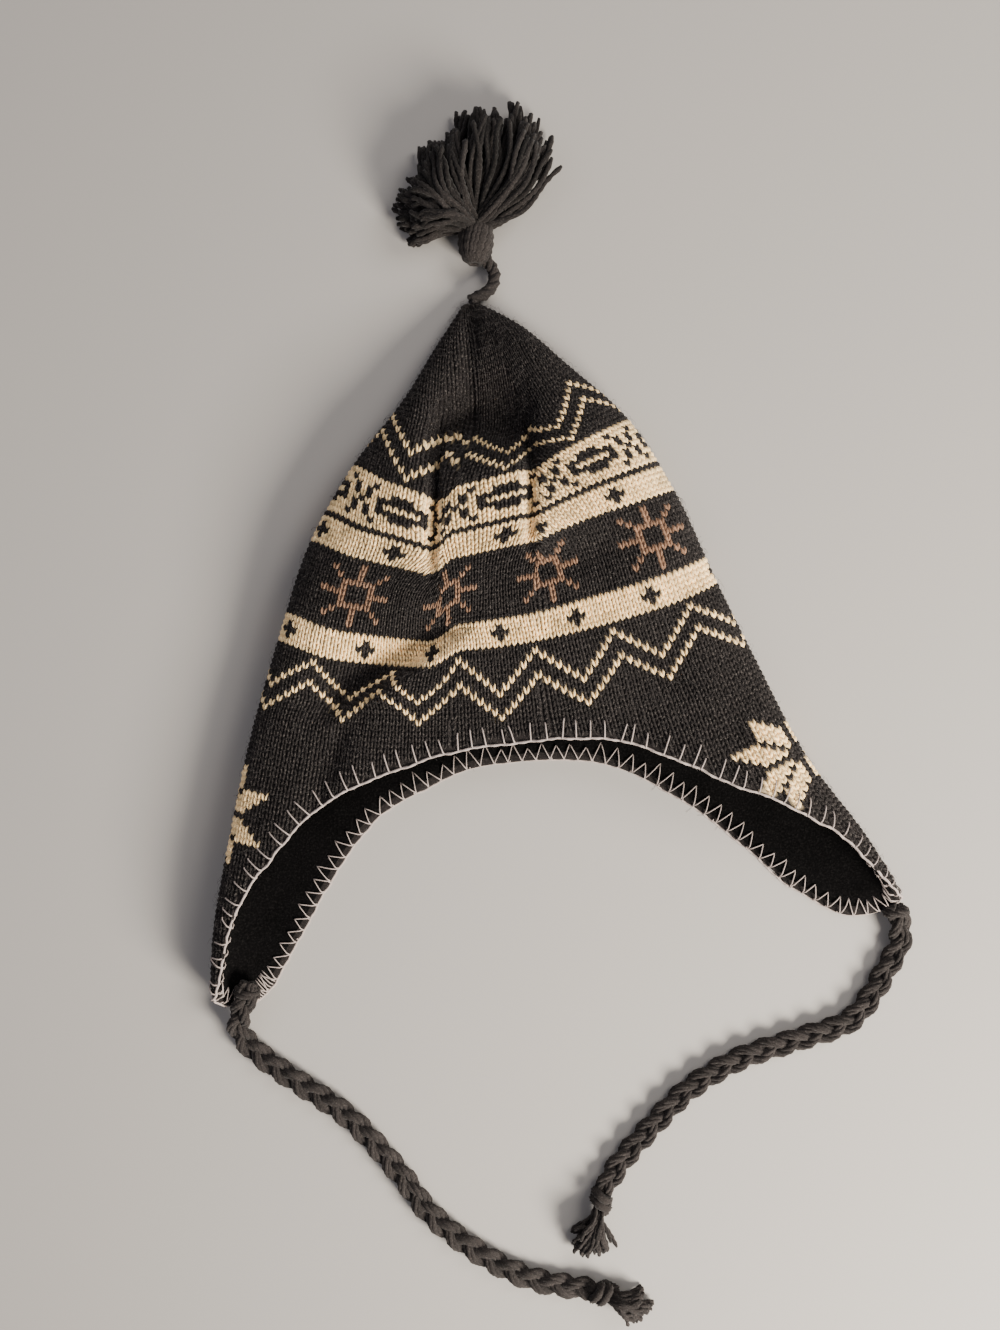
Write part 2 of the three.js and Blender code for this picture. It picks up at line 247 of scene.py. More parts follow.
@dataclass
class Skin:
    """Many like grids of faces in one mesh, each with a cell of its own in the bake map.

    Attributes:
        points: Grid, row, column and coordinate.
        closed: Whether each grid's columns run round to the first.
        capped: Whether the first and last rows are closed by a face.
        tint: Colour of each grid point, or None.
    """

    points: np.ndarray
    closed: bool = False
    capped: bool = False
    tint: np.ndarray | None = None

    def corners(self) -> tuple[np.ndarray, np.ndarray]:
        """Works out each face's four points and their places in the bake map.

        A face joins column j to j+1 and row i to i+1, and its map place is (j, i) scaled into the cell.

        Returns:
            Point numbers and map places, each with a row of four for every face.
        """
        grids, rows, columns = self.points.shape[:3]
        spans = columns if self.closed else columns - 1
        g, i, j = np.meshgrid(np.arange(grids), np.arange(rows - 1), np.arange(spans), indexing="ij")
        steps = [(0, 0), (0, 1), (1, 1), (1, 0)]
        faces = np.stack([(g * rows + i + a) * columns + (j + b) % columns for a, b in steps], -1)
        cells = math.ceil(math.sqrt(grids))
        low = MAP_STRIP if self.capped else MAP_EDGE
        across = np.stack([MAP_EDGE + (1 - 2 * MAP_EDGE) * (j + b) / spans for _, b in steps], -1)
        along = np.stack([low + (1 - MAP_EDGE - low) * (i + a) / (rows - 1) for a, _ in steps], -1)
        cell = g[..., None]
        place = np.stack([cell % cells + across, cell // cells + along], -1) / cells
        return faces.reshape(-1, 4), place.reshape(-1, 4, 2)

    def caps(self) -> tuple[np.ndarray, np.ndarray]:
        """Works out the faces that close each grid's ends, and their small rounds in the bake map.

        Returns:
            Point numbers and map places, with a row for every end.
        """
        grids, rows, columns = self.points.shape[:3]
        cells = math.ceil(math.sqrt(grids))
        g, j = np.meshgrid(np.arange(grids), np.arange(columns), indexing="ij")
        start = g * rows * columns + j
        ends = start + (rows - 1) * columns
        turn = 2 * math.pi * j / columns
        ring = MAP_ROUND * np.stack([np.cos(turn), np.sin(turn)], -1)
        corner = np.stack([g % cells, g // cells], -1)
        first = (corner + ring * np.array([1, -1]) + np.array(FIRST_ROUND)) / cells
        last = (corner + ring + np.array(LAST_ROUND)) / cells
        return np.vstack([start[:, ::-1], ends]), np.concatenate([first[:, ::-1], last])

    def build(self, name: str) -> bpy.types.Object:
        """Makes the mesh object.

        Args:
            name: The piece's name.

        Returns:
            The new object, linked to the scene.
        """
        faces, place = self.corners()
        corner = faces.reshape(-1)
        places = place.reshape(-1, 2)
        start = np.arange(len(faces)) * 4
        if self.capped:
            rings, ring_place = self.caps()
            ring_start = len(corner) + np.arange(len(rings)) * rings.shape[1]
            start = np.concatenate([start, ring_start])
            corner = np.concatenate([corner, rings.reshape(-1)])
            places = np.vstack([places, ring_place.reshape(-1, 2)])
        mesh = bpy.data.meshes.new(name)
        points = np.maximum(self.points.reshape(-1, 3), [-np.inf, -np.inf, 0.0])
        mesh.vertices.add(len(points))
        mesh.vertices.foreach_set("co", points.astype(np.float32).reshape(-1))
        mesh.loops.add(len(corner))
        mesh.loops.foreach_set("vertex_index", corner.astype(np.int32))
        mesh.polygons.add(len(start))
        mesh.polygons.foreach_set("loop_start", start.astype(np.int32))
        mesh.update(calc_edges=True)
        mesh.shade_smooth()
        bake = mesh.uv_layers.new(name="OFBake")
        bake.uv.foreach_set("vector", places.astype(np.float32).reshape(-1))
        if self.tint is not None:
            tint = mesh.attributes.new("tint", "FLOAT_COLOR", "POINT")
            rgba = np.concatenate([self.tint.reshape(-1, 3), np.ones((len(points), 1))], axis=1)
            tint.data.foreach_set("color", rgba.astype(np.float32).reshape(-1))
        piece = bpy.data.objects.new(name, mesh)
        bpy.context.scene.collection.objects.link(piece)
        return piece


@dataclass(frozen=True)
class Ply:
    """How the plies of a yarn show.

    Attributes:
        lobes: Number of plies that show.
        depth: How deep the grooves between them are, as a share of the radius.
        pitch: Length of one turn of the plies, in metres.
    """

    lobes: int = 0
    depth: float = 0.0
    pitch: float = 0.006


SINGLE_PLY = Ply()
EDGING_PLY = Ply(2, 0.22, 0.0045)
PLAIT_PLY = Ply(2, 0.16, 0.007)
TUFT_PLY = Ply(2, 0.2, 0.008)
KNOT_PLY = Ply(7, 0.2, 0.03)
CORD_PLY = Ply(3, 0.14, 0.008)


def tubes(
    paths: np.ndarray, girth: np.ndarray | float, sides: int, ply: Ply = SINGLE_PLY,
    tint: np.ndarray | None = None,
) -> Skin:
    """Carries a round or lobed outline along paths.

    The outline's radius is girth times one plus depth times the cosine of lobes times the turn, and the
    turn advances by one round in each pitch of length, so plies wind round the yarn.

    Args:
        paths: Path, point and coordinate.
        girth: Radius at each point of each path, or one radius.
        sides: Points round the outline.
        ply: How the yarn's plies show.
        tint: Colour of each path, or None.

    Returns:
        The tubes' skin with closed ends.
    """
    _, side, up = path_frames(paths)
    turn = np.linspace(0, 2 * math.pi, sides, endpoint=False)
    wind = 2 * math.pi * running_length(paths)[..., None] / ply.pitch
    radius = np.broadcast_to(np.asarray(girth, float), paths.shape[:2])[..., None]
    radius = radius * (1 + ply.depth * np.cos(ply.lobes * (turn - wind)))
    ring = np.cos(turn)[:, None] * side[..., None, :] + np.sin(turn)[:, None] * up[..., None, :]
    points = paths[..., None, :] + radius[..., None] * ring
    spread = None
    if tint is not None:
        spread = np.broadcast_to(tint[:, None, None, :], points.shape)
    return Skin(points, closed=True, capped=True, tint=spread)


@dataclass(frozen=True)
class Fold:
    """One dent or fold pressed into the front, with its widths to either side of its line.

    Attributes:
        x: Middle of the line across, in millimetres.
        y: Middle of the line along, in millimetres.
        turn: Direction of the line in degrees.
        half: Half its length.
        below: Width on the right of the line.
        above: Width on the left of the line.
        depth: How far it presses the knit down.
        bow: How much the line arches, per millimetre.
    """

    x: float
    y: float
    turn: float
    half: float
    below: float
    above: float
    depth: float
    bow: float = 0.0

    def press(self, x: np.ndarray, y: np.ndarray) -> np.ndarray:
        """Depth at a place: a flat-topped bell along the line and a lopsided bell across it.

        Args:
            x: Places across, in millimetres.
            y: Places along.

        Returns:
            Millimetres by which the knit is pressed down.
        """
        cos = math.cos(math.radians(self.turn))
        sin = math.sin(math.radians(self.turn))
        along = (x - self.x) * cos + (y - self.y) * sin
        across = (y - self.y) * cos - (x - self.x) * sin + self.bow * along**2
        width = np.where(across > 0, self.above, self.below)
        return self.depth * np.exp(-((along / self.half) ** 4) - (across / width) ** 2)


@dataclass
class HatForm:
    """The knit's outer face, by the angle round the hat and the course down from the tip.

    Attributes:
        power: Power that squares off a section's round.
        back_roll: How soon the back comes down to the floor from a fold.
        roll_power: Power of that fall.
        seam_drop: Share of the sag that is lost from the left gore seam to the right one.
        gores_end: Courses over which the sag changes from gores to a parabola.
        step_width: Half width of the step at the left gore seam, as a share of the half width.
        step_down: How far courses step down on the left of that seam, in millimetres.
        step_up: How far they step up on its right.
        step_start: Courses over which the step begins.
        step_end: Courses over which it ends.
        pucker: Height of the small ripples.
        ripple_x: Lengths of the ripples across, and of their bends.
        ripple_y: Lengths of the ripples along, and of their bends.
        ripple_bend: How strongly the ripples bend.
        press_rise: How soon the folds reach their full depth from the sides.
        probe: Degrees or millimetres by which slopes are measured.
        folds: Dents and folds pressed into the front.
    """

    power: float = 0.82
    back_roll: float = 1.6
    roll_power: float = 1.5
    seam_drop: float = 0.14
    gores_end: tuple[float, float] = (160, 205)
    step_width: float = 0.09
    step_down: float = 4.2
    step_up: float = 4.0
    step_start: tuple[float, float] = (75, 112)
    step_end: tuple[float, float] = (200, 240)
    pucker: float = 1.1
    ripple_x: tuple[float, float] = (12, 27)
    ripple_y: tuple[float, float] = (15, 19)
    ripple_bend: float = 1.3
    press_rise: float = 1.5
    probe: float = 0.7
    folds: tuple[Fold, ...] = (
        Fold(-9.0, 121.5, 2, 26, 12.0, 26, 19, 0.0165),
        Fold(-22.4, 123.2, 47.5, 14, 7.0, 2.4, 6),
        Fold(-31.5, 86.0, 88, 36, 1.9, 3.6, 8),
        Fold(14.8, 90.0, 90, 34, 3.4, 3.0, 6),
        Fold(-15.4, 160.0, 90, 30, 4.0, 4.0, 2.6),
        Fold(-55.0, -2.0, 32, 40, 5.8, 18, 13.5),
        Fold(30.0, 52.0, 12, 30, 10, 10, 2.5),
        Fold(70.0, 10.0, -35, 34, 9, 12, 3.5),
        Fold(-88.0, -60.0, 68, 34, 7, 9, 3.5),
    )

    def front_sag(self, across: np.ndarray, course: np.ndarray) -> np.ndarray:
        """Share of a course's sag: straight between the gore seams near the tip, then a parabola.

        Args:
            across: Places across the hat, from -1 to 1.
            course: Millimetres of knit down from the tip.

        Returns:
            Shares from 0 at the folds to about 1.
        """
        seams = read_table(GORE_SEAMS, course)
        left = seams[..., 0]
        right = seams[..., 1]
        level = 1 - self.seam_drop * (across - left) / (right - left)
        falling = (1 - across) / (1 - right) * (1 - self.seam_drop)
        gores = np.maximum(np.minimum(np.minimum((1 + across) / (1 + left), falling), level), 0)
        return gores + (1 - across**2 - gores) * smoothstep(*self.gores_end, course)

    def gore_step(self, across: np.ndarray, course: np.ndarray) -> np.ndarray:
        """Steps the pattern's courses down on the left of the left gore seam and up on its right.

        Args:
            across: Places across the hat, from -1 to 1.
            course: Millimetres of knit down from the tip.

        Returns:
            Millimetres by which the course goes down.
        """
        left = read_table(GORE_SEAMS, course)[..., 0]
        past = smoothstep(-self.step_width, self.step_width, across - left)
        lowered = self.step_down * smoothstep(-1.0, -0.75, across) * (1 - past)
        raised = self.step_up * past * (1 - smoothstep(0.35, 1.0, across))
        shown = smoothstep(*self.step_start, course)
        return (lowered - raised) * shown * (1 - smoothstep(*self.step_end, course))

    def point(self, angle: np.ndarray, course: np.ndarray) -> np.ndarray:
        """Places points on the knit's outer face.

        A section is a flattened round between the two folds. Across it goes the cosine of the angle and
        up it goes the sine, both raised to a power, and the sag bends the course towards the rim. Folds
        press the front down, and so does a ripple, the product of two bent sines.

        Args:
            angle: Degrees round the section: 0 right fold, 90 front, 180 left fold, 270 back.
            course: Millimetres of knit down from the tip.

        Returns:
            Points in metres.
        """
        angle, course = np.broadcast_arrays(np.asarray(angle, float), np.asarray(course, float))
        row = read_table(SECTIONS, course)
        left_x, left_y, right_x, right_y, edge, top, sag, back_sag = np.moveaxis(row, -1, 0)
        cos = np.cos(np.radians(angle))
        sin = np.sin(np.radians(angle))
        across = np.sign(cos) * np.abs(cos) ** self.power
        up = np.abs(sin) ** self.power
        front = sin >= 0
        sagging = sag * self.front_sag(across, course) + self.gore_step(across, course)
        drop = np.where(front, sagging, back_sag * (1 - across**2))
        half_x = (right_x - left_x) / 2
        half_y = (right_y - left_y) / 2
        half = np.hypot(half_x, half_y)
        x = (left_x + right_x) / 2 + across * half_x + half_y / half * drop
        y = (left_y + right_y) / 2 + across * half_y - half_x / half * drop
        pressed = sum(fold.press(x, y) for fold in self.folds)
        wide, wide_bend = self.ripple_x
        long, long_bend = self.ripple_y
        ripple = np.sin(x / wide + np.sin(y / long_bend))
        ripple = ripple * np.sin(y / long + self.ripple_bend * np.sin(x / wide_bend))
        pressed = pressed + self.pucker * ripple
        raised = edge + (top - edge) * up - pressed * np.minimum(1, self.press_rise * up)
        lying = edge * np.maximum(0, 1 - self.back_roll * np.abs(sin)) ** self.roll_power
        return lay_to_part(np.stack([x, y, np.where(front, raised, lying)], -1))

    def rim(self, angle: np.ndarray) -> np.ndarray:
        """Course at which the knit ends at an angle."""
        first = RIM[0, 0]
        return read_table(RIM, (np.asarray(angle, float) - first) % 360 + first)[..., 0]

    def slopes(self, angle: np.ndarray, course: np.ndarray) -> tuple[np.ndarray, np.ndarray]:
        """Measures the change of place for a degree round the hat, and for a millimetre down it.

        Args:
            angle: Degrees round the section.
            course: Millimetres of knit down from the tip.

        Returns:
            Both changes in metres, halved differences to either side.
        """
        step = self.probe
        around = (self.point(angle + step, course) - self.point(angle - step, course)) / (2 * step)
        down = (self.point(angle, course + step) - self.point(angle, course - step)) / (2 * step)
        return around, down

    def normal(self, angle: np.ndarray, course: np.ndarray) -> np.ndarray:
        """Direction out of the knit: the cross product of the two slopes."""
        around, down = self.slopes(angle, course)
        return unit(np.cross(around, down))

    def inset(self, angle: np.ndarray, course: np.ndarray, depth: float) -> np.ndarray:
        """Places points a depth in millimetres inside the outer face."""
        return self.point(angle, course) - depth * MM * self.normal(angle, course)


@dataclass(frozen=True)
class Finish:
    """A fibre finish.

    Attributes:
        name: Material name.
        colour: Base colour, used where the mesh has no tint.
        tinted: Whether the mesh's tint gives the colour.
        roughness: Surface roughness.
        sheen: Weight of the fibre sheen.
        fibre: Fibres per metre in the grain.
        relief: Strength of the grain's bump.
        heather: How strongly light and dark fibres mix.
        fleck: Brightness of the pale fibres.
        gloss: Level of the plain reflection.
        sheen_spread: Roughness of the fibre sheen.
        grain: Height of the grain in metres.
    """

    name: str
    colour: tuple[float, float, float]
    tinted: bool
    roughness: float
    sheen: float
    fibre: float
    relief: float
    heather: float
    fleck: float
    gloss: float = 0.15
    sheen_spread: float = 0.5
    grain: float = 0.0004

    def material(self) -> bpy.types.Material:
        """Builds the material from the shared fibre group.

        Returns:
            The new material.
        """
        material = bpy.data.materials.new(self.name)
        material.use_nodes = True
        nodes = material.node_tree.nodes
        links = material.node_tree.links
        shader = nodes["Principled BSDF"]
        shader.inputs["Roughness"].default_value = self.roughness
        shader.inputs["Sheen Weight"].default_value = self.sheen
        shader.inputs["Sheen Roughness"].default_value = self.sheen_spread
        shader.inputs["Specular IOR Level"].default_value = self.gloss
        grain = nodes.new("ShaderNodeGroup")
        grain.node_tree = fibre_group()
        grain.inputs["Fibres"].default_value = self.fibre
        grain.inputs["Heather"].default_value = self.heather
        grain.inputs["Fleck"].default_value = self.fleck
        grain.inputs["Colour"].default_value = (*self.colour, 1.0)
        place = nodes.new("ShaderNodeTexCoord")
        links.new(place.outputs["Object"], grain.inputs["Place"])
        if self.tinted:
            tint = nodes.new("ShaderNodeAttribute")
            tint.attribute_name = "tint"
            links.new(tint.outputs["Color"], grain.inputs["Colour"])
        bump = nodes.new("ShaderNodeBump")
        bump.inputs["Strength"].default_value = self.relief
        bump.inputs["Distance"].default_value = self.grain
        links.new(grain.outputs["Height"], bump.inputs["Height"])
        links.new(grain.outputs["Colour"], shader.inputs["Base Color"])
        links.new(bump.outputs["Normal"], shader.inputs["Normal"])
        return material


def fibre_group() -> bpy.types.NodeTree:
    """Builds once the shared fibre grain: fine noise that varies a colour and adds pale fibres to it.

    Returns:
        The group, with a place, a colour and the grain's measures in, and a colour and a height out.
    """
    name = "wool_fibre"
    broad_share = 0.35
    if name in bpy.data.node_groups:
        return bpy.data.node_groups[name]
    group = bpy.data.node_groups.new(name, "ShaderNodeTree")
    for label, way, kind in (
        ("Place", "INPUT", "Vector"),
        ("Colour", "INPUT", "Color"),
        ("Fibres", "INPUT", "Float"),
        ("Heather", "INPUT", "Float"),
        ("Fleck", "INPUT", "Float"),
        ("Colour", "OUTPUT", "Color"),
        ("Height", "OUTPUT", "Float"),
    ):
        group.interface.new_socket(label, in_out=way, socket_type=f"NodeSocket{kind}")
    nodes = group.nodes
    links = group.links
    given = nodes.new("NodeGroupInput")
    result = nodes.new("NodeGroupOutput")
    fine = nodes.new("ShaderNodeTexNoise")
    fine.inputs["Detail"].default_value = 3.0
    fine.inputs["Roughness"].default_value = 0.65
    broad = nodes.new("ShaderNodeTexNoise")
    broad.inputs["Scale"].default_value = 60.0
    broad.inputs["Detail"].default_value = 2.0
    links.new(given.outputs["Place"], fine.inputs["Vector"])
    links.new(given.outputs["Fibres"], fine.inputs["Scale"])
    links.new(given.outputs["Place"], broad.inputs["Vector"])
    both = nodes.new("ShaderNodeMath")
    both.operation = "MULTIPLY_ADD"
    both.inputs[1].default_value = broad_share
    links.new(broad.outputs["Fac"], both.inputs[0])
    links.new(fine.outputs["Fac"], both.inputs[2])
    swing = nodes.new("ShaderNodeMapRange")
    swing.inputs["From Min"].default_value = 0.45
    swing.inputs["From Max"].default_value = 0.9
    swing.inputs["To Min"].default_value = -1.0
    swing.inputs["To Max"].default_value = 1.0
    links.new(both.outputs[0], swing.inputs["Value"])
    share = nodes.new("ShaderNodeMath")
    share.operation = "MULTIPLY_ADD"
    share.inputs[2].default_value = 1.0
    links.new(swing.outputs[0], share.inputs[0])
    links.new(given.outputs["Heather"], share.inputs[1])
    mix = nodes.new("ShaderNodeVectorMath")
    mix.operation = "SCALE"
    links.new(given.outputs["Colour"], mix.inputs[0])
    links.new(share.outputs[0], mix.inputs["Scale"])
    pale = nodes.new("ShaderNodeMapRange")
    pale.inputs["From Min"].default_value = 0.54
    pale.inputs["From Max"].default_value = 0.76
    links.new(fine.outputs["Fac"], pale.inputs["Value"])
    links.new(given.outputs["Fleck"], pale.inputs["To Max"])
    fleck = nodes.new("ShaderNodeVectorMath")
    fleck.operation = "SCALE"
    fleck.inputs[0].default_value = (1.0, 0.90, 0.80)
    links.new(pale.outputs[0], fleck.inputs["Scale"])
    total = nodes.new("ShaderNodeVectorMath")
    links.new(mix.outputs["Vector"], total.inputs[0])
    links.new(fleck.outputs["Vector"], total.inputs[1])
    links.new(total.outputs["Vector"], result.inputs["Colour"])
    links.new(fine.outputs["Fac"], result.inputs["Height"])
    return group


KNIT_WOOL = Finish(
    "knit_wool", (0.03, 0.027, 0.028), tinted=True, roughness=0.95, sheen=0.06, fibre=1050,
    relief=0.6, heather=0.35, fleck=0.115,
)
KNIT_GROUND = Finish(
    "knit_ground_wool", (0.02, 0.018, 0.019), tinted=True, roughness=1.0, sheen=0.02, fibre=1400,
    relief=0.5, heather=0.3, fleck=0.03,
)
FLEECE = Finish(
    "black_fleece", (0.0027, 0.0025, 0.0026), tinted=False, roughness=1.0, sheen=0.013, fibre=900,
    relief=1.0, heather=0.6, fleck=0.005, gloss=0.035,
)
THREAD = Finish(
    "edging_thread", (0.42, 0.355, 0.325), tinted=False, roughness=0.85, sheen=0.05, fibre=3000,
    relief=0.5, heather=0.2, fleck=0.0,
)
YARN = Finish(
    "charcoal_yarn", (0.02, 0.018, 0.018), tinted=True, roughness=0.95, sheen=0.06, fibre=1500,
    relief=0.7, heather=0.45, fleck=0.05,
)


def dress(piece: bpy.types.Object, finish: Finish, slot: str, *nodes: str) -> None:
    """Gives a piece its finish, its body and the part's pieces that it stands for.

    Args:
        piece: The new piece.
        finish: Its finish.
        slot: The part's material slot; not used.
        nodes: The part's pieces that it replaces.
    """
    material = bpy.data.materials.get(finish.name) or finish.material()
    piece.data.materials.append(material)
    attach(piece, "root")
    if nodes:
        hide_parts(*nodes)
    LOG.info("%s: %d faces", piece.name, len(piece.data.polygons))


@dataclass
class KnitChart:
    """The knitted pattern, by row down from the top of the first cream band and wale round the hat.

    Attributes:
        repeat: Wales in the repeat of the bands and zigzags.
        bands: First and last row of each cream band.
        eye_row: Middle row of the eyes and crosses in the first band.
        plus_rows: Middle rows of the small dark crosses in the other bands.
        upper_lines: Rows of the upper zigzags' crests.
        lower_lines: Rows of the lower zigzags' crests.
        lower_crest: Wale of a crest of the lower zigzags.
        flake_repeat: Wales from one snowflake to the next.
        flake_wale: Wale of a snowflake's middle.
        flake_row: Row of the snowflakes' middle.
        star_petal: Width and length of a star's petals.
        stars: Row and wale of each star's middle.
    """

    repeat: int = 12
    bands: tuple[tuple[int, int], ...] = ((0, 8), (10, 14), (28, 32))
    eye_row: int = 4
    plus_rows: tuple[int, ...] = (12, 30)
    upper_lines: tuple[int, ...] = (-2, -6)
    lower_lines: tuple[int, ...] = (34, 38)
    lower_crest: int = 5
    flake_repeat: int = 18
    flake_wale: int = 15
    flake_row: int = 21
    star_petal: int = 4
    stars: tuple[tuple[int, int], ...] = ((65, 59), (63, -18))

    def offset(self, wale: np.ndarray, middle: int, repeat: int) -> np.ndarray:
        """Wales from the nearest motif's middle."""
        half = repeat // 2
        return (wale - middle + half) % repeat - half

    def dark(self, row: np.ndarray, wale: np.ndarray) -> np.ndarray:
        """Where the bands have a dark motif: slanting crosses, hollow eyes and small upright crosses.

        Args:
            row: Whole rows.
            wale: Whole wales.

        Returns:
            True where the stitch belongs to a motif.
        """
        cross = np.abs(self.offset(wale, self.repeat // 2, self.repeat))
        eye = np.abs(self.offset(wale, 0, self.repeat))
        level = np.abs(row - self.eye_row)
        dark = (cross == (2 * level + 1) // 3) & (level <= 3)
        dark |= (level == 2) & (eye <= 1)
        dark |= (level == 1) & (eye <= 3)
        dark |= (level == 0) & (eye == 3)
        for middle in self.plus_rows:
            dark |= eye + np.abs(row - middle) <= 1
        return dark

    def cream(self, row: np.ndarray, wale: np.ndarray) -> np.ndarray:
        """Where the knit is cream: three bands less their dark motifs, four zigzag lines and two stars.

        A zigzag is a triangular wave that moves by one row a wale from its crest to half the repeat.

        Args:
            row: Whole rows.
            wale: Whole wales, of the same shape.

        Returns:
            True where the stitch is cream.
        """
        bands = np.zeros(row.shape, bool)
        for top, bottom in self.bands:
            bands |= (row >= top) & (row <= bottom)
        lines = np.zeros(row.shape, bool)
        for crest in self.upper_lines:
            lines |= row == crest - np.abs(self.offset(wale, 0, self.repeat))
        for crest in self.lower_lines:
            lines |= row == crest + np.abs(self.offset(wale, self.lower_crest, self.repeat))
        return (bands & ~self.dark(row, wale)) | lines | self.star(row, wale)

    def star(self, row: np.ndarray, wale: np.ndarray) -> np.ndarray:
        """Where an eight-petalled star lies: between its axes and diagonals, petal wide and petal long.

        Args:
            row: Whole rows.
            wale: Whole wales, of the same shape.

        Returns:
            True where the stitch belongs to a star.
        """
        petal = self.star_petal
        inside = np.zeros(row.shape, bool)
        for star_row, star_wale in self.stars:
            down = np.abs(row - star_row)
            round_it = np.abs(wale - star_wale)
            long = np.maximum(down, round_it)
            short = np.minimum(down, round_it)
            reach = long - short
            inside |= (short >= 1) & (short <= petal) & (reach >= 1) & (reach <= petal)
        return inside

    def tan(self, row: np.ndarray, wale: np.ndarray) -> np.ndarray:
        """Where a snowflake lies: a square ring with straight and slanting spokes.

        Args:
            row: Whole rows.
            wale: Whole wales.

        Returns:
            True where the stitch belongs to a snowflake.
        """
        round_it = np.abs(self.offset(wale, self.flake_wale, self.flake_repeat))
        down = np.abs(row - self.flake_row)
        ring = np.maximum(round_it, down) == 2
        spokes = (round_it == 0) & (down >= 3) & (down <= 5)
        spokes |= (down == 0) & (round_it >= 3) & (round_it <= 5)
        slanting = (round_it == down) & (down >= 3) & (down <= 4)
        return ring | spokes | slanting

    def colour(self, row: np.ndarray, wale: np.ndarray) -> np.ndarray:
        """Colour of each stitch.

        Args:
            row: Whole rows.
            wale: Whole wales.

        Returns:
            Red, green and blue along a new last axis.
        """
        row, wale = np.broadcast_arrays(row, wale)
        colour = np.empty(row.shape + (3,))
        colour[...] = Wool.CHARCOAL.value
        colour[self.tan(row, wale)] = Wool.TAN.value
        colour[self.cream(row, wale)] = Wool.CREAM.value
        return colour


